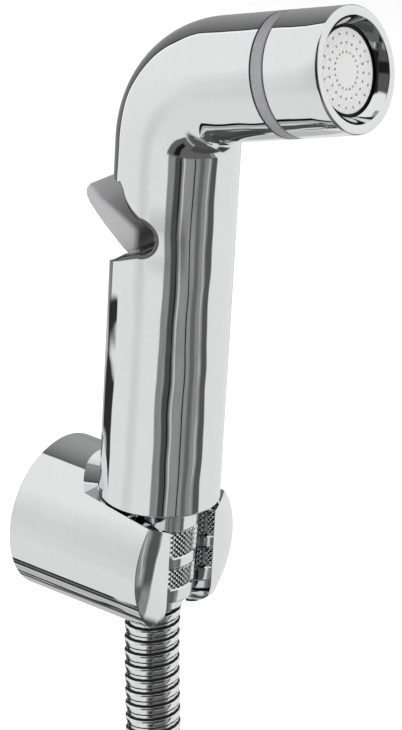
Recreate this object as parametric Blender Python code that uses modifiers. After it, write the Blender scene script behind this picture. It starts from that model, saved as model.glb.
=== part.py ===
"""Handheld bidet shower resting in its wall bracket, with its hose put away in a hanging coil.

Run with: blender --background --python part.py

Metres, +Z up. The origin is the centre of the bracket's wall face. The wall is the plane Y = 0, the
shower stands out from it along -Y, and everything is symmetric about X = 0 apart from the hose.
"""

import math

import bmesh
import bpy
from mathutils import Matrix, Vector

# Fits between pieces
TOUCH = 0.0003            # gap between two faces that rest on each other
SEAL_SQUEEZE = 0.0003     # gap between a ring seal and its groove
WALL_LEFT = 0.0021        # thinnest wall left between two hollows

# Wall bracket, turned about the Y axis
BRACKET_RADIUS = 0.02125
BRACKET_LENGTH = 0.0448
BRACKET_NOSE_BAND = 0.0063
BRACKET_NOSE_TILT = (math.radians(12), math.radians(26))
BRACKET_RECESS_DEPTH = 0.0100
BRACKET_SKIN = 0.0028
BRACKET_BOSS_RADIUS = 0.0065
FORK_SLOT_WIDTH = 0.0194
SEAT_SLOPE = math.radians(5.4)
SEAT_DROP = 0.0010        # how far its slope passes below the handle's foot, on the handle's axis
SEAT_DIP = 0.42           # inward slope of the tops of the fork's arms
STEP_REACH = 0.01395      # from the handle's axis back to the foot of the step behind it
STEP_LEAN = 1.19
FOOT_CLEARANCE = 0.0004
CHIN_REACH = 0.0098        # from the nose back to where the arms' undersides begin to curve up to it
CHIN_ROUND = 0.0120

# Wall disc and the screw that clamps the bracket to it
DISC_THICKNESS = 0.0062
DISC_HOLE_RADIUS = 0.0023
DISC_HOLE_REACH = 0.0118
DISC_SINK_RADIUS = 0.0043
CLAMP_THREAD_RADIUS = 0.0024
CLAMP_HEAD_RADIUS = 0.0044
CLAMP_HEAD_HEIGHT = 0.0032
CLAMP_SOCKET_RADIUS = 0.0023
CLAMP_SOCKET_DEPTH = 0.0018
CLAMP_TIP_COVER = 0.0016

# Handle and arm of the handset: one bent tube
HANDLE_RADIUS = 0.0160
HANDLE_REACH = 0.0333
HANDLE_FOOT = 0.0154
GRIP_LENGTH = 0.0637
ELBOW_RISE = 0.0245
ELBOW_RADIUS = 0.0210
ARM_RISE = math.radians(17.6)
ARM_LENGTH = 0.0345
HANDLE_BORE = 0.0127
ARM_BORE = 0.0130
CHANNEL_SKIN = 0.0026
FOOT_ROUND = 0.0006

# Trigger opening in the back of the handle, as seen from the side
OPENING_HEIGHT = 0.0262
OPENING_FLOOR_SLOPE = 0.46
THROAT_DEPTH = 0.0342
THROAT_STEP = 0.0011
THROAT_RADIUS = 0.0056
BROW_REACH = 0.0080
WELL_DEPTH = 0.0022
WELL_FLOOR = 0.0019

# Trigger lever
LEVER_WIDTH = 0.0170
LEVER_SIDE_GAP = 0.0007
LEVER_PRESS = 0.20
LEVER_EDGE = 0.0012
PIVOT_INSET = 0.0042
PIVOT_RISE = 0.006968
PIN_RADIUS = 0.00125
PIN_END_COVER = 0.0012
EAR_WIDTH = 0.0060
EAR_RADIUS = 0.0024

# Valve under the lever
STEM_RADIUS = 0.0015
STEM_OFFSET = 0.0049
STEM_TAIL = 0.0040
GLAND_RADIUS = 0.0033
GLAND_HEIGHT = 0.0028
GLAND_FLOOR = 0.0020
STEM_SEAL_WIRE = 0.00055
SEAT_HEIGHT = 0.0082
SEAT_PORT = 0.0028
POPPET_RADIUS = 0.0039
POPPET_THICKNESS = 0.0014
POPPET_PAD = 0.0014
CAGE_DEPTH = 0.0120
CAGE_WALL = 0.0011
CAGE_FLOOR = 0.0018
CAGE_HOLE = 0.0026
SPRING_WIRE = 0.00035
SPRING_RADIUS = 0.0026
SPRING_TURNS = 4.5
SEAL_WIRE = 0.0006
GROOVE_WIDTH = 0.0021

# Inlet at the foot of the handle
THREAD_RADIUS = 0.0104
INLET_BORE = 0.0055
PLUG_HEIGHT = 0.0110
SKIRT_DEPTH = 0.0132
THREAD_LENGTH = 0.0078
WASHER_THICKNESS = 0.0018
WASHER_HOLE = 0.0045

# Hose nut with its cone
NUT_LENGTH = 0.0281
NUT_BOTTOM_RADIUS = 0.01015
NUT_TOP_RADIUS = 0.01095
NUT_COLLAR_RADIUS = 0.0122
NUT_CHAMFER = 0.0006
THREAD_CLEARANCE = 0.00035
FLANGE_THICKNESS = 0.0018
FERRULE_RADIUS = 0.0080
FERRULE_REACH = 0.0033
FERRULE_BORE = 0.0042
BORE_CLEARANCE = 0.0004

# Spray head on the arm
TRIM_WIDTH = 0.0035
TRIM_WALL = 0.0028
SLEEVE_LENGTH = 0.0168
RIM_RADIUS = 0.01335
RIM_DEPTH = 0.0030
RIM_THROAT = 0.01155
CORE_WALL = 0.0034
CORE_INSIDE_ARM = 0.0125
PLATE_THICKNESS = 0.0012
PLATE_RADIUS = 0.0125
JET_RADIUS = 0.00045
JET_RINGS = (0.0046, 0.0069, 0.0092)
JETS_PER_RING = 20

# Hose: one length, straight down out of the nut and then wound in a hanging coil
HOSE_RADIUS = 0.0075
COIL_RADIUS = 0.0750
COIL_CENTRE_HEIGHT = -0.1880
COIL_PITCH = 0.0154
COIL_START = math.radians(30)
COIL_END = math.radians(810)
COIL_FRONT = -0.0360
COIL_SKIN = 0.0002
HOSE_RUN = (
    (0.0000, -0.0333, -0.0163),
    (0.0000, -0.0334, -0.0260),
    (0.0000, -0.0342, -0.0380),
    (0.0000, -0.0352, -0.0500),
    (0.0004, -0.0358, -0.0620),
    (0.0029, -0.0360, -0.0790),
    (0.0100, -0.0360, -0.0955),
    (0.0220, -0.0360, -0.1110),
    (0.0375, -0.0360, -0.1230),
)
HOSE_TAIL = (
    (0.0750, -0.0694, -0.1880),
    (0.0752, -0.0702, -0.2000),
    (0.0762, -0.0715, -0.2140),
    (0.0772, -0.0727, -0.2280),
    (0.0775, -0.0731, -0.2400),
)
TIE_ANGLE = math.radians(60)
TIE_WIDTH = 0.0100
TIE_THICKNESS = 0.0014
TIE_SLACK = 0.0005

# Loose end of the hose
END_BODY_LENGTH = 0.0215
HEX_ACROSS_FLATS = 0.0240
HEX_LENGTH = 0.0215
HEX_GRIP = 0.0110

# Facets round a full turn
FINE = 48
MEDIUM = 32
COARSE = 20

# Values that follow from the sizes above
HANDLE_Y = -HANDLE_REACH
LIP_Y = HANDLE_Y + HANDLE_RADIUS
OPENING_LIP = HANDLE_FOOT + GRIP_LENGTH
OPENING_TOP = OPENING_LIP + OPENING_HEIGHT
LOWER_BORE_TOP = OPENING_LIP - WELL_DEPTH - WELL_FLOOR
ELBOW_HEIGHT = OPENING_TOP + ELBOW_RISE
PLUG_FOOT = HANDLE_FOOT + SKIRT_DEPTH
SPIGOT_FOOT = PLUG_FOOT - THREAD_LENGTH
NUT_BOTTOM = HANDLE_FOOT - NUT_LENGTH
FERRULE_BOTTOM = NUT_BOTTOM - FERRULE_REACH
BEND = math.pi / 2 - ARM_RISE
ELBOW_TANGENT = ELBOW_RADIUS * math.tan(BEND / 2)
ARM_DIRECTION = Vector((0, -math.cos(ARM_RISE), math.sin(ARM_RISE)))
ELBOW = Vector((0, HANDLE_Y, ELBOW_HEIGHT))
PIVOT_Y = LIP_Y - PIVOT_INSET
PIVOT_HEIGHT = OPENING_LIP + OPENING_FLOOR_SLOPE * PIVOT_INSET + PIVOT_RISE
STEM_Y = PIVOT_Y - STEM_OFFSET
THROAT_Y = -THROAT_DEPTH
THROAT_FRONT = THROAT_Y + THROAT_RADIUS / 2
THROAT_FLOOR = OPENING_LIP + OPENING_FLOOR_SLOPE * (LIP_Y - THROAT_FRONT) + THROAT_STEP
THROAT_HEIGHT = THROAT_FLOOR + THROAT_RADIUS
BROW_DROP = OPENING_TOP - THROAT_HEIGHT - THROAT_RADIUS
CHANNEL_RADIUS = HANDLE_RADIUS - CHANNEL_SKIN
CHANNEL_BACK = THROAT_Y - THROAT_RADIUS - WALL_LEFT
COLLAR_TOP = PLUG_FOOT - TOUCH
NUT_SHOULDER = SPIGOT_FOOT - WASHER_THICKNESS - FLANGE_THICKNESS - 3 * TOUCH
COIL_DEPTH = COIL_PITCH * (COIL_END - COIL_START) / math.tau
COIL_MIDDLE_Y = COIL_FRONT - COIL_DEPTH / 2
COIL_HALF_WIDTH = COIL_DEPTH / 2 + HOSE_RADIUS + COIL_SKIN
COIL_OUTER = COIL_RADIUS + HOSE_RADIUS + COIL_SKIN
COIL_INNER = COIL_RADIUS - HOSE_RADIUS - COIL_SKIN


def collection(name):
    made = bpy.data.collections.new(name)
    bpy.context.scene.collection.children.link(made)
    return made


def finish(name, colour, roughness, metallic):
    made = bpy.data.materials.new(name)
    made.use_nodes = True
    shader = made.node_tree.nodes["Principled BSDF"]
    shader.inputs["Base Color"].default_value = (*colour, 1)
    shader.inputs["Roughness"].default_value = roughness
    shader.inputs["Metallic"].default_value = metallic
    made.diffuse_color = (*colour, 1)
    made.roughness = roughness
    made.metallic = metallic
    return made


def empty(name, location, tilt=0.0):
    """A frame to build on: its Z axis leans from straight up towards -Y by the tilt."""
    made = bpy.data.objects.new(name, None)
    made.location = location
    made.rotation_euler = (tilt, 0, 0)
    made.empty_display_size = 0.01
    parts.objects.link(made)
    bpy.context.view_layer.update()
    return made


def place(name, mesh, group, frame=None, offset=(0, 0, 0), turn=(0, 0, 0)):
    made = bpy.data.objects.new(name, mesh)
    made.location = offset
    made.rotation_euler = turn
    made.parent = frame
    group.objects.link(made)
    if group is cutters:
        made.hide_render = True
        made.display_type = "WIRE"
    bpy.context.view_layer.update()
    return made


def turned(name, group, profile, frame=None, offset=(0, 0, 0), sides=FINE, ring=False, turn=(0, 0, 0)):
    """A turned solid. The profile is (radius, height) points, down the outer side from the top.

    A ring's profile goes on up its bore, and is closed.
    """
    mesh = bpy.data.meshes.new(name)
    corners = [(radius, 0, height) for radius, height in profile]
    edges = [(i, i + 1) for i in range(len(corners) - 1)]
    if ring:
        edges.append((len(corners) - 1, 0))
    mesh.from_pydata(corners, edges, [])
    made = place(name, mesh, group, frame, offset, turn)
    screw = made.modifiers.new("turn", "SCREW")
    screw.steps = sides
    screw.render_steps = sides
    screw.use_merge_vertices = True
    screw.merge_threshold = 0.00001
    screw.use_smooth_shade = True
    return made


def cone(name, group, bottom_radius, top_radius, bottom, top, frame=None, offset=(0, 0, 0), sides=MEDIUM,
         turn=(0, 0, 0)):
    """A cylinder or a cone between two heights on its own axis."""
    mesh = bpy.data.meshes.new(name)
    shape = bmesh.new()
    bmesh.ops.create_cone(shape, cap_ends=True, segments=sides, radius1=bottom_radius, radius2=top_radius,
                          depth=top - bottom, matrix=Matrix.Translation((0, 0, (top + bottom) / 2)))
    shape.to_mesh(mesh)
    shape.free()
    return place(name, mesh, group, frame, offset, turn)


def box(name, group, low, high, frame=None, turn=(0, 0, 0), offset=(0, 0, 0)):
    mesh = bpy.data.meshes.new(name)
    shape = bmesh.new()
    size = Vector(high) - Vector(low)
    middle = (Vector(high) + Vector(low)) / 2
    bmesh.ops.create_cube(shape, size=1, matrix=Matrix.Translation(middle) @ Matrix.Diagonal((*size, 1)))
    shape.to_mesh(mesh)
    shape.free()
    return place(name, mesh, group, frame, offset, turn)


def as_mesh(curve_object, group, frame, offset, turn):
    """The curve's evaluated shape as a closed mesh object in the curve's place."""
    name = curve_object.name
    curve_object.name = name + "_curve"
    bpy.context.view_layer.update()
    evaluated = curve_object.evaluated_get(bpy.context.evaluated_depsgraph_get())
    mesh = bpy.data.meshes.new_from_object(evaluated)
    shape = bmesh.new()
    shape.from_mesh(mesh)
    bmesh.ops.remove_doubles(shape, verts=shape.verts, dist=0.000001)
    bmesh.ops.recalc_face_normals(shape, faces=shape.faces)
    shape.to_mesh(mesh)
    shape.free()
    bpy.data.objects.remove(curve_object)
    return place(name, mesh, group, frame, offset, turn)


def tube(name, group, points, radius, sides, frame=None, offset=(0, 0, 0)):
    """A round bar along the points, with flat ends."""
    curve = bpy.data.curves.new(name, "CURVE")
    curve.dimensions = "3D"
    curve.bevel_depth = radius
    curve.bevel_resolution = (sides - 4) // 2
    curve.use_fill_caps = True
    spline = curve.splines.new("POLY")
    spline.points.add(len(points) - 1)
    for slot, point in zip(spline.points, points):
        slot.co = (*point, 1)
    made = place(name, curve, group, frame, offset)
    return as_mesh(made, group, frame, offset, (0, 0, 0))


def plate(name, group, outlines, thickness, frame=None, offset=(0, 0, 0), turn=(0, 0, 0)):
    """A flat plate of the first outline, with the other outlines as holes through it."""
    curve = bpy.data.curves.new(name, "CURVE")
    curve.dimensions = "2D"
    curve.fill_mode = "BOTH"
    curve.extrude = thickness / 2
    for outline in outlines:
        spline = curve.splines.new("POLY")
        spline.points.add(len(outline) - 1)
        for slot, point in zip(spline.points, outline):
            slot.co = (*point, 0, 1)
        spline.use_cyclic_u = True
    made = place(name, curve, group, frame, offset, turn)
    return as_mesh(made, group, frame, offset, turn)


# A plate drawn with Y across and Z up, its thickness along X
SIDEWAYS = (math.pi / 2, 0, math.pi / 2)


def arc(centre, radius, start, end, steps):
    """Points of an arc in a plane, both ends included."""
    angles = [start + (end - start) * i / steps for i in range(steps + 1)]
    return [(centre[0] + radius * math.cos(a), centre[1] + radius * math.sin(a)) for a in angles]


def combine(target, other, operation):
    step = target.modifiers.new(other.name, "BOOLEAN")
    step.operation = operation
    step.object = other
    step.solver = "EXACT"


def cut(target, *others):
    for other in others:
        combine(target, other, "DIFFERENCE")


def join(target, other):
    combine(target, other, "UNION")


def paint(material, *objects):
    for made in objects:
        made.data.materials.append(material)


def bent_path(start_height, arm_end, steps=9):
    """The middle line of the handle and the arm, from a height up the handle to a reach along the arm."""
    points = [Vector((0, HANDLE_Y, start_height))]
    centre = Vector((0, HANDLE_Y - ELBOW_RADIUS, ELBOW_HEIGHT - ELBOW_TANGENT))
    for i in range(steps + 1):
        angle = BEND * i / steps
        points.append(centre + ELBOW_RADIUS * Vector((0, math.cos(angle), math.sin(angle))))
    points.append(ELBOW + arm_end * ARM_DIRECTION)
    return points


def nut_radius(height):
    """The nut's outside radius at a height on its cone."""
    share = (height - NUT_BOTTOM) / (HANDLE_FOOT - NUT_BOTTOM)
    return NUT_BOTTOM_RADIUS + share * (NUT_TOP_RADIUS - NUT_BOTTOM_RADIUS)


def opening_floor(y):
    """Height of the trigger opening's sloping floor."""
    return OPENING_LIP + OPENING_FLOOR_SLOPE * (LIP_Y - y)


def make_bracket():
    length = BRACKET_LENGTH
    radius = BRACKET_RADIUS
    recess = radius - BRACKET_SKIN
    inner, outer = BRACKET_NOSE_TILT
    crown = BRACKET_NOSE_BAND / (math.sin(outer) - math.sin(inner))
    nose = arc((radius - crown * math.sin(outer), length - crown * math.cos(inner)), crown,
               math.pi / 2 - inner, math.pi / 2 - outer, 5)
    profile = [(0, length), *nose, (radius, 0), (recess, 0), (recess, BRACKET_RECESS_DEPTH),
               (BRACKET_BOSS_RADIUS, BRACKET_RECESS_DEPTH),
               (BRACKET_BOSS_RADIUS, DISC_THICKNESS + TOUCH), (0, DISC_THICKNESS + TOUCH)]
    body = turned("bracket_body", parts, profile, bracket_axis)

    seat_middle = HANDLE_FOOT - SEAT_DROP
    rise = math.tan(SEAT_SLOPE)
    front = -length + HANDLE_REACH - TOUCH
    seat = plate("seat_cut", cutters, [[
        (front, seat_middle + rise * front), (STEP_REACH, seat_middle + rise * STEP_REACH),
        (STEP_REACH + STEP_LEAN * radius, seat_middle + rise * STEP_REACH + radius),
        (front, seat_middle + rise * STEP_REACH + radius),
    ]], 3 * radius, handle_axis, turn=SIDEWAYS)
    quarter = FORK_SLOT_WIDTH / 4
    dip_foot = SEAT_DIP * (quarter - HANDLE_RADIUS)
    dip_edge = SEAT_DIP * (radius - HANDLE_RADIUS)
    dip_outline = [(-radius, dip_edge), (-quarter, dip_foot), (quarter, dip_foot), (radius, dip_edge),
                   (radius, radius), (-radius, radius)]
    dip_place = (0, -0.6 * HANDLE_RADIUS, seat_middle - 0.6 * rise * HANDLE_RADIUS)
    dip = plate("dip_cut", cutters, [dip_outline], HANDLE_RADIUS, handle_axis, dip_place,
                (math.pi / 2 + SEAT_SLOPE, 0, 0))
    foot = cone("foot_cut", cutters, HANDLE_RADIUS + FOOT_CLEARANCE, HANDLE_RADIUS + FOOT_CLEARANCE,
                HANDLE_FOOT - TOUCH, 2 * radius, handle_axis, sides=FINE)
    chin_start = -length + HANDLE_REACH + CHIN_REACH
    chin_foot = -math.sqrt(radius ** 2 - (FORK_SLOT_WIDTH / 2) ** 2)
    chin_curve = arc((chin_start, chin_foot + CHIN_ROUND), CHIN_ROUND,
                     1.5 * math.pi, math.pi + math.acos((CHIN_REACH + TOUCH) / CHIN_ROUND), 8)
    chin = plate("chin_cut", cutters, [[*chin_curve, (front, -2 * radius), (chin_start, -2 * radius)]],
                 3 * radius, handle_axis, turn=SIDEWAYS)
    low = -radius - TOUCH
    pocket = cone("pocket_cut", cutters, nut_radius(low) + THREAD_CLEARANCE,
                  nut_radius(radius) + THREAD_CLEARANCE, low, radius, handle_axis, sides=FINE)
    slot = box("slot_cut", cutters, (-FORK_SLOT_WIDTH / 2, -length, -radius * 1.1),
               (FORK_SLOT_WIDTH / 2, 0, radius * 1.1), handle_axis)
    pocket_back = HANDLE_REACH - nut_radius(0) - THREAD_CLEARANCE
    bore = cone("clamp_bore_cut", cutters, CLAMP_THREAD_RADIUS + TOUCH, CLAMP_THREAD_RADIUS + TOUCH,
                0, HANDLE_REACH, bracket_axis, sides=COARSE)
    sink = cone("clamp_head_cut", cutters, CLAMP_HEAD_RADIUS + TOUCH, CLAMP_HEAD_RADIUS + TOUCH,
                pocket_back - CLAMP_HEAD_HEIGHT - 2 * TOUCH, HANDLE_REACH, bracket_axis, sides=COARSE)
    cut(body, seat, dip, foot, chin, pocket, slot, bore, sink)

    disc_radius = recess - TOUCH
    disc = cone("wall_disc", parts, disc_radius, disc_radius, 0, DISC_THICKNESS, bracket_axis, sides=FINE)
    thread = cone("disc_thread_cut", cutters, CLAMP_THREAD_RADIUS + TOUCH, CLAMP_THREAD_RADIUS + TOUCH,
                  CLAMP_TIP_COVER, 2 * DISC_THICKNESS, bracket_axis, sides=COARSE)
    cut(disc, thread)
    for side in (-1, 1):
        place_x = side * DISC_HOLE_REACH
        rise = DISC_SINK_RADIUS
        hole = turned(f"disc_hole_cut_{side}", cutters, [
            (0, DISC_THICKNESS + rise), (2 * rise, DISC_THICKNESS + rise),
            (DISC_HOLE_RADIUS, DISC_THICKNESS + DISC_HOLE_RADIUS - rise),
            (DISC_HOLE_RADIUS, -DISC_THICKNESS), (0, -DISC_THICKNESS),
        ], bracket_axis, (place_x, 0, 0), COARSE)
        cut(disc, hole)

    head_top = pocket_back - TOUCH
    head_foot = head_top - CLAMP_HEAD_HEIGHT
    tip = CLAMP_TIP_COVER + TOUCH
    screw = turned("clamp_screw", parts, [
        (0, head_top), (CLAMP_HEAD_RADIUS - TOUCH, head_top), (CLAMP_HEAD_RADIUS, head_top - TOUCH),
        (CLAMP_HEAD_RADIUS, head_foot), (CLAMP_THREAD_RADIUS, head_foot),
        (CLAMP_THREAD_RADIUS, tip + TOUCH), (CLAMP_THREAD_RADIUS - TOUCH, tip), (0, tip),
    ], bracket_axis, sides=COARSE)
    socket = cone("clamp_socket_cut", cutters, CLAMP_SOCKET_RADIUS, CLAMP_SOCKET_RADIUS,
                  head_top - CLAMP_SOCKET_DEPTH, head_top + CLAMP_SOCKET_DEPTH, bracket_axis, sides=6)
    cut(screw, socket)
    paint(chrome, body)
    paint(zinc, disc)
    paint(steel, screw)


def opening_outline(back):
    """Outline of the trigger opening seen from the side, as (y, z), reaching out to the back."""
    round_end = arc((THROAT_Y, THROAT_HEIGHT), THROAT_RADIUS, -math.pi / 2, -3 * math.pi / 2, 10)
    throat_top = THROAT_HEIGHT + THROAT_RADIUS
    brow_y = THROAT_Y + BROW_REACH
    return [
        (back, opening_floor(back)),
        (THROAT_FRONT, opening_floor(THROAT_FRONT)),
        *round_end,
        (brow_y - 0.65 * BROW_REACH, throat_top + 0.24 * BROW_DROP),
        (brow_y - 0.38 * BROW_REACH, throat_top + 0.52 * BROW_DROP),
        (brow_y - 0.20 * BROW_REACH, throat_top + 0.82 * BROW_DROP),
        (brow_y, OPENING_TOP),
        (back, OPENING_TOP),
    ]


def make_handset_body():
    body = tube("handset_body", parts, bent_path(HANDLE_FOOT, ARM_LENGTH), HANDLE_RADIUS, FINE)
    back = LIP_Y + HANDLE_RADIUS
    opening = plate("opening_cut", cutters, [opening_outline(back)], 3 * HANDLE_RADIUS, turn=SIDEWAYS)
    well = plate("well_cut", cutters, [[
        (back, opening_floor(back) - WELL_DEPTH), (THROAT_FRONT, opening_floor(THROAT_FRONT) - WELL_DEPTH),
        (THROAT_FRONT, THROAT_HEIGHT), (back, THROAT_HEIGHT),
    ]], LEVER_WIDTH + 2 * LEVER_SIDE_GAP, turn=SIDEWAYS)
    ear_top = arc((PIVOT_Y, PIVOT_HEIGHT), EAR_RADIUS, 0, math.pi, 8)
    ear_foot = opening_floor(LIP_Y) - WELL_DEPTH
    ear = plate("ear", cutters, [[*ear_top, (PIVOT_Y - EAR_RADIUS, ear_foot),
                                  (PIVOT_Y + EAR_RADIUS, ear_foot)]], EAR_WIDTH, turn=SIDEWAYS)
    cut(body, opening, well)
    join(body, ear)

    bore = cone("handle_bore_cut", cutters, HANDLE_BORE, HANDLE_BORE, 0, LOWER_BORE_TOP, handle_axis,
                sides=FINE)
    half_turn = math.acos(min(1.0, (HANDLE_Y - CHANNEL_BACK) / CHANNEL_RADIUS))
    channel_outline = arc((0, 0), CHANNEL_RADIUS, -math.pi / 2 - half_turn, -math.pi / 2 + half_turn, 12)
    channel_top = ELBOW_HEIGHT - ELBOW_TANGENT
    channel_foot = LOWER_BORE_TOP - HANDLE_RADIUS / 3
    channel = plate("channel_cut", cutters, [channel_outline], channel_top - channel_foot, handle_axis,
                    (0, 0, (channel_top + channel_foot) / 2))
    hollow = tube("arm_hollow_cut", cutters,
                  bent_path(OPENING_TOP + WALL_LEFT, ARM_LENGTH + HANDLE_RADIUS), ARM_BORE, FINE - 4)
    gland_bore = cone("gland_bore_cut", cutters, GLAND_RADIUS + TOUCH, GLAND_RADIUS + TOUCH,
                      LOWER_BORE_TOP + GLAND_FLOOR, THROAT_HEIGHT, None, (0, STEM_Y, 0), COARSE)
    stem_bore = cone("stem_bore_cut", cutters, STEM_RADIUS + TOUCH, STEM_RADIUS + TOUCH,
                     LOWER_BORE_TOP - GLAND_FLOOR, THROAT_HEIGHT, None, (0, STEM_Y, 0), COARSE)
    pin_bore = cone("pin_bore_cut", cutters, PIN_RADIUS + TOUCH, PIN_RADIUS + TOUCH,
                    -LEVER_WIDTH / 2, LEVER_WIDTH / 2, lever_pivot, (0, 0, 0), COARSE,
                    (0, math.pi / 2, 0))
    cut(body, bore, channel, hollow, gland_bore, stem_bore, pin_bore)
    paint(chrome, body)


def lever_outline():
    """The lever seen from the side, as (y, z) from its pivot, anticlockwise from its thumb corner."""
    return [
        (0.0111, 0.0092), (0.0109, 0.0074), (0.0098, 0.0056), (0.0046, 0.0009), (-0.0014, -0.0036),
        (-0.0032, -0.0047), (-0.0047, -0.0048), (-0.0060, -0.0039), (-0.0066, -0.0024),
        (-0.0065, 0.0018), (-0.0058, 0.0029), (-0.0030, 0.0042), (0.0062, 0.0081),
        (0.0084, 0.0099), (0.0101, 0.0106),
    ]


def make_lever():
    lever = plate("trigger_lever", parts, [lever_outline()], LEVER_WIDTH, lever_pivot, turn=SIDEWAYS)
    soften = lever.modifiers.new("soft_edges", "BEVEL")
    soften.width = LEVER_EDGE
    soften.segments = 2
    soften.limit_method = "ANGLE"
    soften.angle_limit = math.radians(60)
    room = EAR_RADIUS + 2 * TOUCH
    swing = THROAT_RADIUS * math.sin(LEVER_PRESS)
    depth = HANDLE_RADIUS / 2
    slot_top = arc((0, 0), room, 0, math.pi, 8)
    slot = plate("lever_slot_cut", cutters, [[*slot_top, (-room - swing / 2, -depth), (room, -depth)]],
                 EAR_WIDTH + 4 * TOUCH, lever_pivot, turn=SIDEWAYS)
    pin_low = -LEVER_WIDTH / 2 + PIN_END_COVER
    hole = cone("lever_pin_cut", cutters, PIN_RADIUS + TOUCH, PIN_RADIUS + TOUCH,
                pin_low, LEVER_WIDTH, lever_pivot, (0, 0, 0), COARSE, (0, math.pi / 2, 0))
    cut(lever, slot, hole)
    pin = cone("lever_pin", parts, PIN_RADIUS, PIN_RADIUS, pin_low + TOUCH,
               LEVER_WIDTH / 2 - PIN_END_COVER / 2, lever_pivot, (0, 0, 0), COARSE, (0, math.pi / 2, 0))
    paint(grey_plastic, lever)
    paint(steel, pin)


def seal(name, outer_bore, height, frame, wire=SEAL_WIRE, offset=(0, 0, 0), sides=MEDIUM):
    """A ring seal that reaches almost to the bore round it."""
    middle = outer_bore - SEAL_SQUEEZE - wire
    section = arc((middle, height), wire, math.pi / 2, -3 * math.pi / 2, 8)[:-1]
    made = turned(name, parts, section, frame, offset, sides, ring=True)
    paint(rubber, made)
    return made


def groove(bore, wire=SEAL_WIRE):
    """Radius at the foot of the groove that holds a seal in a bore."""
    return bore - 2 * SEAL_SQUEEZE - 2 * wire


def make_valve():
    outside = HANDLE_BORE - TOUCH
    seat_top = LOWER_BORE_TOP - TOUCH
    seat_foot = seat_top - SEAT_HEIGHT
    ring_middle = seat_top - SEAT_HEIGHT / 2
    inner = groove(HANDLE_BORE)
    half = GROOVE_WIDTH / 2
    seat = turned("valve_seat", parts, [
        (0, seat_top), (outside, seat_top), (outside, ring_middle + half), (inner, ring_middle + half),
        (inner, ring_middle - half), (outside, ring_middle - half), (outside, seat_foot), (0, seat_foot),
    ], handle_axis)
    port = cone("seat_port_cut", cutters, SEAT_PORT, SEAT_PORT, seat_foot - SEAT_HEIGHT,
                seat_top + SEAT_HEIGHT, None, (0, STEM_Y, 0), COARSE)
    cut(seat, port)
    seal("seat_seal", HANDLE_BORE, ring_middle, handle_axis)

    lobe_foot = PIVOT_HEIGHT + min(z for y, z in lever_outline())
    stem_top = lobe_foot - TOUCH
    pad_top = seat_foot - TOUCH
    poppet_top = pad_top - POPPET_PAD - TOUCH
    poppet_foot = poppet_top - POPPET_THICKNESS
    stem = turned("valve_stem", parts, [
        (0, stem_top), (STEM_RADIUS - TOUCH, stem_top), (STEM_RADIUS, stem_top - TOUCH),
        (STEM_RADIUS, poppet_top), (POPPET_RADIUS, poppet_top), (POPPET_RADIUS, poppet_foot),
        (STEM_RADIUS, poppet_foot), (STEM_RADIUS, poppet_foot - STEM_TAIL), (0, poppet_foot - STEM_TAIL),
    ], stem_axis, sides=COARSE)
    pad = turned("poppet_washer", parts, [
        (POPPET_RADIUS, pad_top), (POPPET_RADIUS, pad_top - POPPET_PAD),
        (STEM_RADIUS + TOUCH, pad_top - POPPET_PAD), (STEM_RADIUS + TOUCH, pad_top),
    ], stem_axis, sides=COARSE, ring=True)

    cage_top = seat_foot - TOUCH
    cage_foot = cage_top - CAGE_DEPTH
    cage_inner = outside - CAGE_WALL
    cage = turned("valve_cage", parts, [
        (outside, cage_top), (outside, cage_foot), (0, cage_foot), (0, cage_foot + CAGE_FLOOR),
        (cage_inner, cage_foot + CAGE_FLOOR), (cage_inner, cage_top),
    ], handle_axis, ring=True)
    hole_reach = HANDLE_BORE / 2
    for name, angle in (("left", math.pi), ("right", 0), ("front", -math.pi / 2)):
        spot = (hole_reach * math.cos(angle), hole_reach * math.sin(angle), 0)
        hole = cone(f"cage_hole_cut_{name}", cutters, CAGE_HOLE, CAGE_HOLE, cage_foot - CAGE_FLOOR,
                    cage_foot + 2 * CAGE_FLOOR, handle_axis, spot, COARSE)
        cut(cage, hole)

    spring_low = cage_foot + CAGE_FLOOR + TOUCH + SPRING_WIRE
    spring_high = poppet_foot - TOUCH - SPRING_WIRE
    steps = round(12 * SPRING_TURNS)
    coil = []
    for i in range(steps + 1):
        turn = math.tau * SPRING_TURNS * i / steps
        rise = spring_low + (spring_high - spring_low) * i / steps
        coil.append((SPRING_RADIUS * math.cos(turn), SPRING_RADIUS * math.sin(turn), rise))
    spring = tube("return_spring", parts, coil, SPRING_WIRE, 8, stem_axis)

    gland_foot = LOWER_BORE_TOP + GLAND_FLOOR + 2 * STEM_SEAL_WIRE + 2 * SEAL_SQUEEZE
    gland = turned("stem_gland", parts, [
        (GLAND_RADIUS, gland_foot + GLAND_HEIGHT), (GLAND_RADIUS, gland_foot),
        (STEM_RADIUS + TOUCH, gland_foot), (STEM_RADIUS + TOUCH, gland_foot + GLAND_HEIGHT),
    ], stem_axis, sides=COARSE, ring=True)
    seal("stem_seal", GLAND_RADIUS + TOUCH,
         LOWER_BORE_TOP + GLAND_FLOOR + SEAL_SQUEEZE + STEM_SEAL_WIRE, stem_axis, STEM_SEAL_WIRE,
         sides=COARSE)
    paint(brass, seat, gland)
    paint(steel, stem, spring)
    paint(white_plastic, cage)
    paint(rubber, pad)


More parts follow.
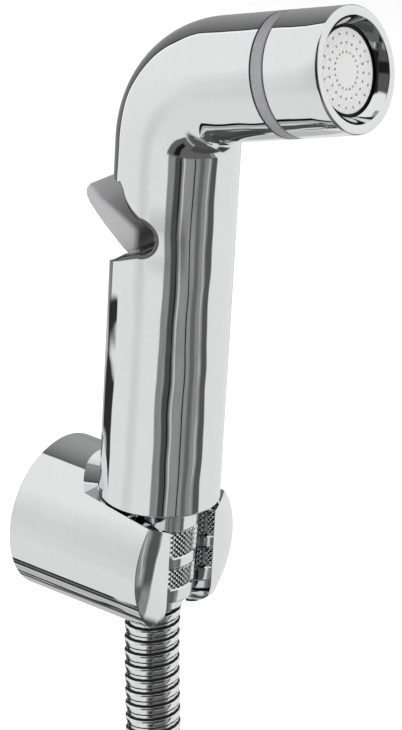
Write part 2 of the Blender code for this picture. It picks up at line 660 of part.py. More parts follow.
def make_inlet():
    outside = HANDLE_BORE - TOUCH
    ring_middle = PLUG_FOOT + PLUG_HEIGHT / 2
    inner = groove(HANDLE_BORE)
    half = GROOVE_WIDTH / 2
    spigot = turned("inlet_spigot", parts, [
        (outside, PLUG_FOOT + PLUG_HEIGHT), (outside, ring_middle + half), (inner, ring_middle + half),
        (inner, ring_middle - half), (outside, ring_middle - half), (outside, PLUG_FOOT),
        (THREAD_RADIUS, PLUG_FOOT), (THREAD_RADIUS, SPIGOT_FOOT), (INLET_BORE, SPIGOT_FOOT),
        (INLET_BORE, PLUG_FOOT + PLUG_HEIGHT),
    ], handle_axis, ring=True)
    seal("spigot_seal", HANDLE_BORE, ring_middle, handle_axis)

    thread_bore = THREAD_RADIUS + THREAD_CLEARANCE
    washer_radius = thread_bore - 2 * TOUCH
    washer_top = SPIGOT_FOOT - TOUCH
    washer = turned("nut_washer", parts, [
        (washer_radius, washer_top), (washer_radius, washer_top - WASHER_THICKNESS),
        (WASHER_HOLE, washer_top - WASHER_THICKNESS), (WASHER_HOLE, washer_top),
    ], handle_axis, sides=MEDIUM, ring=True)

    flange_top = washer_top - WASHER_THICKNESS - TOUCH
    ferrule = turned("upper_ferrule", parts, [
        (washer_radius, flange_top), (washer_radius, flange_top - FLANGE_THICKNESS),
        (FERRULE_RADIUS, flange_top - FLANGE_THICKNESS), (FERRULE_RADIUS, FERRULE_BOTTOM),
        (FERRULE_BORE, FERRULE_BOTTOM), (FERRULE_BORE, flange_top),
    ], handle_axis, sides=MEDIUM, ring=True)

    lower_bore = FERRULE_RADIUS + BORE_CLEARANCE
    nut = turned("cone_nut", parts, [
        (NUT_COLLAR_RADIUS, COLLAR_TOP), (NUT_COLLAR_RADIUS, HANDLE_FOOT + 2 * NUT_CHAMFER),
        (NUT_TOP_RADIUS, HANDLE_FOOT), (NUT_BOTTOM_RADIUS, NUT_BOTTOM + NUT_CHAMFER),
        (NUT_BOTTOM_RADIUS - NUT_CHAMFER, NUT_BOTTOM), (lower_bore, NUT_BOTTOM),
        (lower_bore, NUT_SHOULDER), (thread_bore, NUT_SHOULDER), (thread_bore, COLLAR_TOP),
    ], handle_axis, ring=True)
    paint(brass, spigot)
    paint(chrome, ferrule, nut)
    paint(rubber, washer)


def make_head():
    core_outer = ARM_BORE - TOUCH
    core_inner = core_outer - CORE_WALL
    trim_low = ARM_LENGTH + TOUCH
    sleeve_low = trim_low + TRIM_WIDTH + TOUCH
    face = sleeve_low + SLEEVE_LENGTH
    lip = face - RIM_DEPTH
    plate_top = lip - TOUCH
    plate_foot = plate_top - PLATE_THICKNESS
    seal_gap = 2 * SEAL_WIRE + 2 * SEAL_SQUEEZE
    core_top = plate_foot - seal_gap
    core_foot = ARM_LENGTH - CORE_INSIDE_ARM
    ring_middle = ARM_LENGTH - CORE_INSIDE_ARM / 2
    inner = groove(ARM_BORE)
    half = GROOVE_WIDTH / 2
    core = turned("head_core", parts, [
        (core_outer, core_top), (core_outer, ring_middle + half), (inner, ring_middle + half),
        (inner, ring_middle - half), (core_outer, ring_middle - half), (core_outer, core_foot),
        (core_inner, core_foot), (core_inner, core_top),
    ], head_axis, ring=True)
    seal("core_seal", ARM_BORE, ring_middle, head_axis)
    trim = turned("trim_ring", parts, [
        (HANDLE_RADIUS, trim_low + TRIM_WIDTH), (HANDLE_RADIUS, trim_low),
        (HANDLE_RADIUS - TRIM_WALL, trim_low), (HANDLE_RADIUS - TRIM_WALL, trim_low + TRIM_WIDTH),
    ], head_axis, ring=True)
    edge = FOOT_ROUND
    sleeve = turned("head_sleeve", parts, [
        (HANDLE_RADIUS - edge, face), (HANDLE_RADIUS, face - edge), (HANDLE_RADIUS, sleeve_low),
        (ARM_BORE, sleeve_low), (ARM_BORE, lip), (RIM_THROAT, lip), (RIM_RADIUS, face),
    ], head_axis, ring=True)

    rim = arc((0, 0), PLATE_RADIUS, 0, math.tau, FINE)[:-1]
    jets = []
    for ring_radius in JET_RINGS:
        for i in range(JETS_PER_RING):
            angle = math.tau * i / JETS_PER_RING
            spot = (ring_radius * math.cos(angle), ring_radius * math.sin(angle))
            jets.append(arc(spot, JET_RADIUS, 0, math.tau, 6)[:-1])
    spray = plate("spray_plate", parts, [rim, *jets], PLATE_THICKNESS, head_axis,
                  (0, 0, plate_foot + PLATE_THICKNESS / 2))
    seal("plate_seal", core_outer, plate_foot - seal_gap / 2, head_axis)
    paint(chrome, sleeve)
    paint(grey_plastic, trim)
    paint(white_plastic, core, spray)


def smooth_route(points, spacing):
    """Points a set distance apart on a smooth curve through a hand-drawn route."""
    route = [Vector(point) for point in points]
    ends = [route[0] * 2 - route[1], *route, route[-1] * 2 - route[-2]]
    dense = []
    for before, start, end, after in zip(ends, ends[1:], ends[2:], ends[3:]):
        for i in range(20):
            t = i / 20
            dense.append(0.5 * (2 * start + (end - before) * t
                                + (2 * before - 5 * start + 4 * end - after) * t * t
                                + (3 * start - before - 3 * end + after) * t ** 3))
    dense.append(route[-1])
    chosen = [dense[0]]
    walked = 0.0
    for start, end in zip(dense, dense[1:]):
        walked += (end - start).length
        if walked >= spacing:
            chosen.append(end)
            walked = 0.0
    if (chosen[-1] - route[-1]).length > spacing / 3:
        chosen.append(route[-1])
    else:
        chosen[-1] = route[-1]
    return chosen


def make_hose():
    half = COIL_HALF_WIDTH
    corner = HOSE_RADIUS * 0.6
    ring_frame = (0, COIL_MIDDLE_Y, COIL_CENTRE_HEIGHT)
    flat = (math.pi / 2, 0, 0)
    coil = turned("hose_coil", parts, [
        (COIL_OUTER - corner, half), (COIL_OUTER, half - corner), (COIL_OUTER, corner - half),
        (COIL_OUTER - corner, -half), (COIL_INNER + corner, -half), (COIL_INNER, corner - half),
        (COIL_INNER, half - corner), (COIL_INNER + corner, half),
    ], None, ring_frame, FINE, ring=True, turn=flat)
    room = cone("coil_room_cut", cutters, COIL_OUTER + TOUCH, COIL_OUTER + TOUCH, -half - TOUCH,
                half + TOUCH, None, ring_frame, FINE, flat)
    run = tube("hose_run", parts, smooth_route(HOSE_RUN, 2 * HOSE_RADIUS), HOSE_RADIUS, 12)
    tail = tube("hose_tail", parts, smooth_route(HOSE_TAIL, 2 * HOSE_RADIUS), HOSE_RADIUS, 12)
    cut(run, room)
    cut(tail, room)

    reach_in = HOSE_RADIUS + COIL_SKIN + TIE_SLACK
    reach_side = half + TIE_SLACK
    thick = TIE_THICKNESS
    hole = [(-reach_in, -reach_side), (reach_in, -reach_side), (reach_in, reach_side),
            (-reach_in, reach_side)]
    bend = thick
    out_x = reach_in + thick
    out_y = reach_side + thick
    outer = [(bend - out_x, -out_y), (out_x - bend, -out_y), (out_x, bend - out_y), (out_x, out_y - bend),
             (out_x - bend, out_y), (bend - out_x, out_y), (-out_x, out_y - bend), (-out_x, bend - out_y)]
    tie_frame = bpy.data.objects.new("tie_frame", None)
    radial = Vector((math.sin(TIE_ANGLE), 0, math.cos(TIE_ANGLE)))
    across = Vector((0, 1, 0))
    along = radial.cross(across)
    turn = Matrix((radial, across, along)).transposed().to_4x4()
    spot = Vector((0, COIL_MIDDLE_Y, COIL_CENTRE_HEIGHT)) + COIL_RADIUS * radial
    tie_frame.matrix_world = Matrix.Translation(spot) @ turn
    parts.objects.link(tie_frame)
    bpy.context.view_layer.update()
    tie = plate("coil_tie", parts, [outer, hole], TIE_WIDTH, tie_frame)
    paint(chrome, run, coil, tail)
    paint(rubber, tie)


def make_hose_end():
    """The loose end, built down its own axis from where the hose stops."""
    top = -TOUCH
    flange_top = top - END_BODY_LENGTH
    thread_bore = THREAD_RADIUS + THREAD_CLEARANCE
    flange_radius = thread_bore - 2 * TOUCH
    ferrule = turned("lower_ferrule", parts, [
        (FERRULE_RADIUS, top), (FERRULE_RADIUS, flange_top), (flange_radius, flange_top),
        (flange_radius, flange_top - FLANGE_THICKNESS), (FERRULE_BORE, flange_top - FLANGE_THICKNESS),
        (FERRULE_BORE, top),
    ], end_axis, sides=MEDIUM, ring=True)
    shoulder = flange_top + TOUCH
    nut_top = shoulder + HEX_GRIP
    nut_foot = nut_top - HEX_LENGTH
    hex_radius = HEX_ACROSS_FLATS / 2 / math.cos(math.pi / 6)
    nut = cone("hex_nut", parts, hex_radius, hex_radius, nut_foot, nut_top, end_axis, sides=6)
    throat = cone("hex_throat_cut", cutters, FERRULE_RADIUS + BORE_CLEARANCE,
                  FERRULE_RADIUS + BORE_CLEARANCE, nut_foot, nut_top + HEX_GRIP, end_axis)
    bore = cone("hex_bore_cut", cutters, thread_bore, thread_bore, nut_foot - HEX_GRIP, shoulder, end_axis)
    crown = turned("hex_crown_cut", cutters, [
        (2 * hex_radius, nut_top + NUT_CHAMFER), (2 * hex_radius, nut_foot - NUT_CHAMFER),
        (HEX_ACROSS_FLATS / 2, nut_foot - NUT_CHAMFER), (hex_radius, nut_foot + 2 * NUT_CHAMFER),
        (hex_radius, nut_top - 2 * NUT_CHAMFER), (HEX_ACROSS_FLATS / 2, nut_top + NUT_CHAMFER),
    ], end_axis, sides=MEDIUM, ring=True)
    cut(nut, throat, bore, crown)
    washer_top = flange_top - FLANGE_THICKNESS - TOUCH
    washer = turned("end_washer", parts, [
        (flange_radius, washer_top), (flange_radius, washer_top - WASHER_THICKNESS),
        (WASHER_HOLE, washer_top - WASHER_THICKNESS), (WASHER_HOLE, washer_top),
    ], end_axis, sides=MEDIUM, ring=True)
    paint(chrome, ferrule, nut)
    paint(rubber, washer)


for old in list(bpy.data.objects):
    bpy.data.objects.remove(old)

parts = collection("handheld_bidet_shower")
cutters = collection("cutters")

chrome = finish("polished_chrome", (0.80, 0.80, 0.81), 0.08, 1.0)
zinc = finish("zinc", (0.55, 0.56, 0.57), 0.45, 1.0)
steel = finish("stainless_steel", (0.62, 0.61, 0.60), 0.25, 1.0)
brass = finish("brass", (0.72, 0.55, 0.28), 0.30, 1.0)
grey_plastic = finish("grey_satin_plastic", (0.33, 0.33, 0.34), 0.42, 0.0)
white_plastic = finish("white_plastic", (0.85, 0.85, 0.84), 0.35, 0.0)
rubber = finish("black_rubber", (0.03, 0.03, 0.03), 0.70, 0.0)

bracket_axis = empty("bracket_axis", (0, 0, 0), math.pi / 2)
handle_axis = empty("handle_axis", (0, HANDLE_Y, 0))
head_axis = empty("head_axis", ELBOW, BEND)
lever_pivot = empty("lever_pivot", (0, PIVOT_Y, PIVOT_HEIGHT))
stem_axis = empty("stem_axis", (0, STEM_Y, 0))
end_axis = empty("end_axis", HOSE_TAIL[-1])

make_bracket()
make_handset_body()
make_lever()
make_valve()
make_inlet()
make_head()
make_hose()
make_hose_end()
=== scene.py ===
# %% [markdown]
# # A handheld bidet shower in polished chrome
#
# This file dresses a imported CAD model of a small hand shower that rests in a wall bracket. It is
# written as a lesson in cells. Each cell starts with a few sentences on what the piece is, how it
# could be made and why this way was chosen. The code below it is short and prints what it made.
#
# The CAD frame gives every size. The scene builds finer pieces on it, because polished metal shows
# each facet of a coarse mesh as a break in its reflections.

import math

import bmesh
import bpy
from mathutils import Matrix, Vector


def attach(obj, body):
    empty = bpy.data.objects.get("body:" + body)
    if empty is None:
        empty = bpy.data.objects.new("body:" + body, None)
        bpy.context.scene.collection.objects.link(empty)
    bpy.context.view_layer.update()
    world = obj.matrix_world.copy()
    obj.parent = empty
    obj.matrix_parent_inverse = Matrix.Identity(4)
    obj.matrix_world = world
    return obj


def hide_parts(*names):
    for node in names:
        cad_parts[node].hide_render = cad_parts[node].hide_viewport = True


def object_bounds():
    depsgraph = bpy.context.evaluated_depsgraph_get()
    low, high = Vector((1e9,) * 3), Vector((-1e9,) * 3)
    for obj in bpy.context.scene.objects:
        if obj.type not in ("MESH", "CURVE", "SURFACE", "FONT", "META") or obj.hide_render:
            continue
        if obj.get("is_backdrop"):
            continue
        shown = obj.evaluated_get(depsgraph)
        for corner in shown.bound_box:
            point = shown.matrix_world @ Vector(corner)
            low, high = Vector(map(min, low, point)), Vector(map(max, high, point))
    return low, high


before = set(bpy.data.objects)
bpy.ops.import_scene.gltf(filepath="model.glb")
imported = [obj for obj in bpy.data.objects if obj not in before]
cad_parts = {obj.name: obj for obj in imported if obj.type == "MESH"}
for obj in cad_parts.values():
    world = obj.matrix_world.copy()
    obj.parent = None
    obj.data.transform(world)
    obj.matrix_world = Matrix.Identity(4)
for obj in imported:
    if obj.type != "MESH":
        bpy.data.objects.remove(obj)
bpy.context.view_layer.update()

# %% [markdown]
# ## Camera
#
# A long lens far from the object keeps upright lines nearly parallel, as product photographs do.
# The place and the turn below were found by fitting the handle, the arm and the bracket to the
# photograph. A rotation matrix holds the three directions of the camera: to its right, up, and back.

# %% Camera
eye = Vector((-0.77677, -0.60985, 0.46940))
to_right = Vector((0.6059, -0.7938, 0.0527)).normalized()
upward = Vector((0.2856, 0.2789, 0.9169)).normalized()
backward = to_right.cross(upward).normalized()
upward = backward.cross(to_right)

camera_data = bpy.data.cameras.new("photo_camera")
camera_data.lens = 199.94
camera_data.sensor_width = 36
camera_data.clip_start = 0.05
camera_data.clip_end = 20
camera = bpy.data.objects.new("photo_camera", camera_data)
turn = Matrix((to_right, upward, backward)).transposed().to_4x4()
camera.matrix_world = Matrix.Translation(eye) @ turn
bpy.context.scene.collection.objects.link(camera)
bpy.context.scene.camera = camera
print("camera at", tuple(round(value, 3) for value in eye))

# %% [markdown]
# ## Helpers for meshes
#
# A few small helpers are used all the way through. One turns a finished bmesh into an object, one
# spins an outline into a turned piece, one pushes an outline into a block, one cuts a piece with
# others and one rounds the edges of a piece that was cut. A full spin leaves its last row of points
# on its first, so it is told to merge them. Doubles are merged and the faces turned outwards before
# anything else is done to a mesh.

# %% From bmesh to object
def as_object(name, shape, smooth=True, sharp=32):
    """Make an object of a bmesh, shaded smooth but for edges sharper than the angle."""
    mesh = bpy.data.meshes.new(name)
    for face in shape.faces:
        face.smooth = smooth
    shape.to_mesh(mesh)
    shape.free()
    if smooth:
        mesh.set_sharp_from_angle(angle=math.radians(sharp))
    made = bpy.data.objects.new(name, mesh)
    bpy.context.scene.collection.objects.link(made)
    return made


def clean(shape, distance=0.000002):
    """Merge doubles and turn every face outwards."""
    bmesh.ops.remove_doubles(shape, verts=shape.verts, dist=distance)
    bmesh.ops.recalc_face_normals(shape, faces=shape.faces)


def points_of(geometry):
    """The points among the items that an operator gave back."""
    return [item for item in geometry if isinstance(item, bmesh.types.BMVert)]


# %% Frames to build on
def frame_at(place, tilt=0.0):
    """A frame whose Z axis leans from straight up towards -Y by the tilt."""
    return Matrix.Translation(place) @ Matrix.Rotation(tilt, 4, "X")


HANDLE_Y = -0.0333
ARM_RISE = math.radians(17.6)
ELBOW = Vector((0, HANDLE_Y, 0.1298))
bracket_frame = frame_at((0, 0, 0), math.pi / 2)
handle_frame = frame_at((0, HANDLE_Y, 0))
head_frame = frame_at(ELBOW, math.pi / 2 - ARM_RISE)
print("the arm rises by", round(math.degrees(ARM_RISE), 1), "degrees")


# %% Rows of points, spun
def row_of_points(shape, places, closed=False):
    """Add points to a shape, each joined to the next by an edge."""
    points = [shape.verts.new(place) for place in places]
    for start, end in zip(points, points[1:]):
        shape.edges.new((start, end))
    if closed:
        shape.edges.new((points[-1], points[0]))
    return points


def full_turn(shape, steps):
    """Spin a row of points once round Z, into a closed skin."""
    bmesh.ops.spin(shape, geom=shape.verts[:] + shape.edges[:], cent=(0, 0, 0), axis=(0, 0, 1),
                   dvec=(0, 0, 0), angle=math.tau, steps=steps, use_merge=True)
    clean(shape)


def turned(outline, place, sides=128, closed=False):
    """Spin an outline of (radius, height) points round Z, and move it to its place."""
    shape = bmesh.new()
    row_of_points(shape, [(radius, 0, height) for radius, height in outline], closed)
    full_turn(shape, sides)
    bmesh.ops.transform(shape, matrix=place, verts=shape.verts)
    return shape


def arc(centre, radius, start, end, steps):
    """Points of an arc from one angle to another, in degrees."""
    angles = [math.radians(start + (end - start) * i / steps) for i in range(steps + 1)]
    return [(centre[0] + radius * math.cos(a), centre[1] + radius * math.sin(a)) for a in angles]


# %% Cutting
def cut(target, *tools):
    """Cut the tools' shapes out of the target, and throw the tools away."""
    for tool in tools:
        step = target.modifiers.new("cut", "BOOLEAN")
        step.operation = "DIFFERENCE"
        step.solver = "EXACT"
        step.object = tool
        tool.hide_render = True
    bpy.context.view_layer.update()
    graph = bpy.context.evaluated_depsgraph_get()
    made = bpy.data.meshes.new_from_object(target.evaluated_get(graph))
    target.modifiers.clear()
    old = target.data
    target.data = made
    made.name = target.name
    bpy.data.meshes.remove(old)
    for tool in tools:
        bpy.data.objects.remove(tool)


def as_tool(name, shape):
    """A cutting tool: an object that only lends its shape, so it is shaded flat."""
    return as_object(name, shape, smooth=False)


# %% Blocks from an outline
def extruded(places, along):
    """A block: a flat face through the places, pushed along a vector."""
    shape = bmesh.new()
    face = shape.faces.new([shape.verts.new(place) for place in places])
    grown = bmesh.ops.extrude_face_region(shape, geom=[face])["geom"]
    bmesh.ops.translate(shape, vec=along, verts=points_of(grown))
    clean(shape)
    return shape


def side_prism(name, outline, half_width):
    """A tool with an outline of (y, z) points, as thick as asked along X."""
    return as_tool(name, extruded([(-half_width, y, z) for y, z in outline], (2 * half_width, 0, 0)))


# %% Rounding the edges of a piece that was cut
def round_edges(piece, chosen, offset, segments, sharp, clamp=True, join_flats=False):
    """Bevel the edges that a test chooses, shade the piece smooth, and count those edges."""
    shape = bmesh.new()
    shape.from_mesh(piece.data)
    clean(shape)
    if join_flats:
        bmesh.ops.dissolve_limit(shape, angle_limit=math.radians(0.2), use_dissolve_boundaries=False,
                                 verts=shape.verts, edges=shape.edges)
    edges = [edge for edge in shape.edges if chosen(edge)]
    bmesh.ops.bevel(shape, geom=edges, offset=offset, segments=segments, profile=0.5, affect="EDGES",
                    clamp_overlap=clamp, material=-1)
    shape.to_mesh(piece.data)
    shape.free()
    shade_smooth(piece, sharp)
    return len(edges)


def shade_smooth(piece, sharp):
    """Shade every face smooth but for edges sharper than the angle."""
    for face in piece.data.polygons:
        face.use_smooth = True
    piece.data.set_sharp_from_angle(angle=math.radians(sharp))


# %% [markdown]
# ## The hose
#
# A metal shower hose is a steel strip wound in a helix, with its edges locked together. Each turn of
# the strip shows as a wide round ridge and a narrow groove. One pitch of that profile is spun with a
# small rise at every step, so the spin makes the real helix. The straight hose is then laid along its
# route by carrying each ring of points to the route's own frame.
#
# The route repeats the points of the CAD model: down out of the nut, round a hanging coil, and down
# to the loose end. The coil is where the length that the picture doesn't show is put away.

# %% The route of the hose
HOSE_DIAMETER = 0.0150
HOSE_RUN = (
    (0.0000, -0.0333, -0.0163),
    (0.0000, -0.0334, -0.0260),
    (0.0000, -0.0342, -0.0380),
    (0.0000, -0.0352, -0.0500),
    (0.0004, -0.0358, -0.0620),
    (0.0029, -0.0360, -0.0790),
    (0.0100, -0.0360, -0.0955),
    (0.0220, -0.0360, -0.1110),
)
HOSE_TAIL = (
    (0.0752, -0.0702, -0.2000),
    (0.0762, -0.0715, -0.2140),
    (0.0772, -0.0727, -0.2280),
    (0.0775, -0.0731, -0.2400),
)
COIL_RADIUS = 0.0750
COIL_CENTRE = Vector((0, 0, -0.1880))
COIL_PITCH = 0.0154
COIL_FRONT = -0.0360
COIL_START = 30
COIL_END = 810


def coil_point(degrees):
    """A point of the coil: it winds in the plane of the wall and steps away from it."""
    angle = math.radians(degrees)
    out = COIL_FRONT - COIL_PITCH * (degrees - COIL_START) / 360
    return COIL_CENTRE + Vector((COIL_RADIUS * math.sin(angle), out, COIL_RADIUS * math.cos(angle)))


def smooth_route(points, spacing):
    """Evenly spaced points on one smooth curve through the given points."""
    route = [Vector(point) for point in points]
    ends = [route[0] * 2 - route[1], *route, route[-1] * 2 - route[-2]]
    dense = []
    for before, start, end, after in zip(ends, ends[1:], ends[2:], ends[3:]):
        for i in range(24):
            t = i / 24
            dense.append(0.5 * (2 * start + (end - before) * t
                                + (2 * before - 5 * start + 4 * end - after) * t * t
                                + (3 * start - before - 3 * end + after) * t ** 3))
    dense.append(route[-1])
    length = sum((end - start).length for start, end in zip(dense, dense[1:]))
    count = round(length / spacing)
    even = []
    walked, step = 0.0, length / count
    for start, end in zip(dense, dense[1:]):
        gap = (end - start).length
        while len(even) < count and len(even) * step <= walked + gap + 1e-12:
            even.append(start.lerp(end, (len(even) * step - walked) / gap))
        walked += gap
    even.append(dense[-1])
    return even, length


coil_points = [coil_point(degrees) for degrees in range(COIL_START + 15, COIL_END - 14, 15)]
hose_points = [*HOSE_RUN, (0.0375, -0.0360, -0.1230), *coil_points, coil_point(COIL_END), *HOSE_TAIL]
hose_route, hose_length = smooth_route(hose_points, 0.001)
print("hose length in m:", round(hose_length, 3))


# %% The helix of the hose
HOSE_PITCH = 0.0038
HOSE_STEPS = 20
GROOVE_DEPTH = 0.00046
STRIP_PROFILE = (
    (0.00, -0.00085), (0.05, -0.00014), (0.11, 0.0), (0.30, -0.00005), (0.52, -0.00016),
    (0.58, -0.00026), (0.62, -0.00062), (0.66, -0.00034), (0.78, -0.00038), (0.92, -0.00050),
    (1.00, -0.00085),
)


def hose_helix(length, block=8):
    """A straight spiral hose along Z: some turns of its profile are spun with a rise, then repeated."""
    turns = block * round(length / HOSE_PITCH / block)
    pitch = length / turns
    outer = HOSE_DIAMETER / 2
    shape = bmesh.new()
    row_of_points(shape, [(outer + depth, 0, (share - 1) * pitch) for share, depth in STRIP_PROFILE])
    bmesh.ops.spin(shape, geom=shape.verts[:] + shape.edges[:], cent=(0, 0, 0), axis=(0, 0, 1),
                   dvec=(0, 0, pitch / HOSE_STEPS), angle=math.tau * block,
                   steps=HOSE_STEPS * block, use_merge=False)
    first = shape.verts[:] + shape.edges[:] + shape.faces[:]
    for i in range(1, turns // block):
        copied = bmesh.ops.duplicate(shape, geom=first)["geom"]
        bmesh.ops.translate(shape, vec=(0, 0, i * block * pitch), verts=points_of(copied))
    clean(shape, 0.00001)
    return shape


def mean_radius(face):
    """How far a face of the straight hose is from its axis."""
    return sum(math.hypot(point.co.x, point.co.y) for point in face.verts) / len(face.verts)


def lay_along(shape, route, length):
    """Carry a straight shape along Z onto a route, with a frame that never spins."""
    sections = []
    across = Vector((1, 0, 0))
    for i in range(len(route)):
        ahead = (route[min(i + 1, len(route) - 1)] - route[max(i - 1, 0)]).normalized()
        across = (across - ahead * across.dot(ahead)).normalized()
        sections.append((route[i], across.copy(), ahead.cross(across)))
    for point in shape.verts:
        place = min(max(point.co.z / length, 0.0), 1.0) * (len(route) - 1)
        first = min(int(place), len(route) - 2)
        share = place - first
        centre = sections[first][0].lerp(sections[first + 1][0], share)
        side = sections[first][1].lerp(sections[first + 1][1], share)
        front = sections[first][2].lerp(sections[first + 1][2], share)
        point.co = centre + side * point.co.x + front * point.co.y


helix = hose_helix(hose_length)
# The faces deep in the grooves: they are painted dark as shade further on.
painted_shade_groove_faces = [face.index for face in helix.faces
                if mean_radius(face) < HOSE_DIAMETER / 2 - GROOVE_DEPTH]
lay_along(helix, hose_route, hose_length)
bmesh.ops.recalc_face_normals(helix, faces=helix.faces)
hose = as_object("spiral_hose", helix, sharp=60)
print("hose faces:", len(hose.data.polygons), "in the grooves:", len(painted_shade_groove_faces))

# %% [markdown]
# ## The tie round the coil
#
# A short rubber strap holds the turns together. It is a rounded loop with two tight ends, so a
# rectangle of points is bevelled at its corners, extruded to a band and given its thickness.

# %% The tie
TIE_ANGLE = 60
TIE_WIDTH = 0.0100
TIE_THICKNESS = 0.0014
TIE_SLACK = 0.0007
coil_depth = COIL_PITCH * (COIL_END - COIL_START) / 360
reach_in = HOSE_DIAMETER / 2 + TIE_SLACK
reach_side = coil_depth / 2 + HOSE_DIAMETER / 2 + TIE_SLACK
tie_angle = math.radians(TIE_ANGLE)
radial = Vector((math.sin(tie_angle), 0, math.cos(tie_angle)))
sideways = Vector((0, 1, 0))
spot = COIL_CENTRE + Vector((0, COIL_FRONT - coil_depth / 2, 0)) + COIL_RADIUS * radial

tie_shape = bmesh.new()
loop = row_of_points(tie_shape, [(x, y, -TIE_WIDTH / 2) for x, y in (
    (-reach_in, -reach_side), (reach_in, -reach_side), (reach_in, reach_side), (-reach_in, reach_side))],
    closed=True)
bmesh.ops.bevel(tie_shape, geom=loop, offset=0.005, segments=6, profile=0.5, affect="VERTICES",
                material=-1)
grown = bmesh.ops.extrude_edge_only(tie_shape, edges=tie_shape.edges[:])["geom"]
bmesh.ops.translate(tie_shape, vec=(0, 0, TIE_WIDTH), verts=points_of(grown))
clean(tie_shape)
bmesh.ops.solidify(tie_shape, geom=tie_shape.faces[:], thickness=-TIE_THICKNESS)
clean(tie_shape)
corners = [edge for edge in tie_shape.edges if edge.calc_face_angle(0) > math.radians(60)]
bmesh.ops.bevel(tie_shape, geom=corners, offset=0.0004, segments=3, profile=0.5, affect="EDGES",
                material=-1)
tie_turn = Matrix((radial, sideways, radial.cross(sideways))).transposed().to_4x4()
bmesh.ops.transform(tie_shape, matrix=Matrix.Translation(spot) @ tie_turn, verts=tie_shape.verts)
tie = as_object("coil_strap", tie_shape)
print("strap faces:", len(tie.data.polygons))

# %% [markdown]
# ## The handset's tube
#
# Handle and arm are one round tube with a tight bend. A circle is extruded up the handle, spun round
# the centre of the bend and extruded along the arm, which is how a real tube is drawn and bent. A
# sweep like this keeps its rings square to the tube, so reflections run along it without a ripple.
#
# The inside is made the same way with smaller circles, and is cut out of the tube. It leaves the
# same walls round the valve and the water channel as the CAD model has.

# %% A bent tube
HANDLE_RADIUS = 0.0160
HANDLE_FOOT = 0.0154
ELBOW_RADIUS = 0.0210
BEND = math.pi / 2 - ARM_RISE
ELBOW_TANGENT = ELBOW_RADIUS * math.tan(BEND / 2)
BEND_FOOT = ELBOW.z - ELBOW_TANGENT
ARM_LENGTH = 0.0345
ROW_SPACING = 0.004
arm_ahead = Vector((0, -math.cos(ARM_RISE), math.sin(ARM_RISE)))


def pushed_on(shape, rim, ahead, length):
    """Extrude a rim of edges straight on in evenly spaced rows, and return the last rim."""
    rows = max(1, round(length / ROW_SPACING))
    for i in range(rows):
        grown = bmesh.ops.extrude_edge_only(shape, edges=rim)["geom"]
        lifted = points_of(grown)
        rim = [item for item in grown if isinstance(item, bmesh.types.BMEdge)
               and item.verts[0] in lifted and item.verts[1] in lifted]
        bmesh.ops.translate(shape, vec=ahead * (length / rows), verts=lifted)
    return rim


def bent_tube(radius, foot, arm_end, sides=160, bend_steps=36):
    """A closed bar that goes up the handle from its foot, round the bend and along the arm."""
    shape = bmesh.new()
    bmesh.ops.create_circle(shape, segments=sides, radius=radius, cap_ends=True,
                            matrix=Matrix.Translation((0, HANDLE_Y, foot)))
    rim = pushed_on(shape, shape.edges[:], Vector((0, 0, 1)), BEND_FOOT - foot)
    spun = bmesh.ops.spin(shape, geom=rim, cent=(0, HANDLE_Y - ELBOW_RADIUS, BEND_FOOT), axis=(1, 0, 0),
                          dvec=(0, 0, 0), angle=BEND, steps=bend_steps, use_merge=False)["geom_last"]
    last = [item for item in spun if isinstance(item, bmesh.types.BMEdge)]
    last = pushed_on(shape, last, arm_ahead, arm_end - ELBOW_TANGENT)
    bmesh.ops.contextual_create(shape, geom=last)
    clean(shape)
    return shape


body = as_object("handset_tube", bent_tube(HANDLE_RADIUS, HANDLE_FOOT, ARM_LENGTH), smooth=False)
body_low = min(point.co.z for point in body.data.vertices)
body_high = max(point.co.z for point in body.data.vertices)
print("tube from", round(1000 * body_low, 1), "to", round(1000 * body_high, 1), "mm")

# %% [markdown]
# ## The trigger opening
#
# The back of the handle is open where the thumb works the lever. Seen from the side, the opening has
# a level brow, a round throat and a floor that slopes down to the back. A plain cut would do, but it
# leaves a knife edge, and the real wall is rolled in at its front. So the outline is drawn once from
# the side and repeated across the handle as rings of points: narrower inside the wall, and opening
# towards the surface like a trumpet. The skin between the rings is the tool that cuts the opening.
# A deeper well under the lever gives the lever room to go down.

# %% The opening's outline
OPENING_TOP = 0.1053
OPENING_LIP = 0.0791
FLOOR_SLOPE = 0.46
THROAT_Y = -0.0342
THROAT_RADIUS = 0.0056
LIP_Y = HANDLE_Y + HANDLE_RADIUS
LEVER_WIDTH = 0.0170
WELL_DEPTH = 0.0022
LOWER_BORE_TOP = 0.0750


def floor_height(y):
    """Height of the opening's sloping floor."""
    return OPENING_LIP + FLOOR_SLOPE * (LIP_Y - y)


throat_front = THROAT_Y + THROAT_RADIUS / 2
throat_height = floor_height(throat_front) + 0.0011 + THROAT_RADIUS
throat_top = throat_height + THROAT_RADIUS
brow_drop = OPENING_TOP - throat_top
brow_y = THROAT_Y + 0.0080
back = LIP_Y + HANDLE_RADIUS
brow, _ = smooth_route([(0, THROAT_Y, throat_top), (0, brow_y - 0.0052, throat_top + 0.24 * brow_drop),
                        (0, brow_y - 0.0030, throat_top + 0.52 * brow_drop),
                        (0, brow_y - 0.0016, throat_top + 0.82 * brow_drop),
                        (0, brow_y, OPENING_TOP)], 0.0007)
floor_points = [back + (throat_front - back) * i / 20 for i in range(21)]
opening = [*[(y, floor_height(y)) for y in floor_points],
           *arc((THROAT_Y, throat_height), THROAT_RADIUS, -90, -270, 30)[:-1],
           *[(point.y, point.z) for point in brow], (back, OPENING_TOP)]
well = [(back, floor_height(back) - WELL_DEPTH), (throat_front, floor_height(throat_front) - WELL_DEPTH),
        (throat_front, throat_height), (back, throat_height)]
print("opening outline points:", len(opening))

# %% A tool that leaves a rolled edge
ROLL_WIDTH = 0.0022
ROLL_DEPTH = 0.0024
ROLL_START = -0.0215


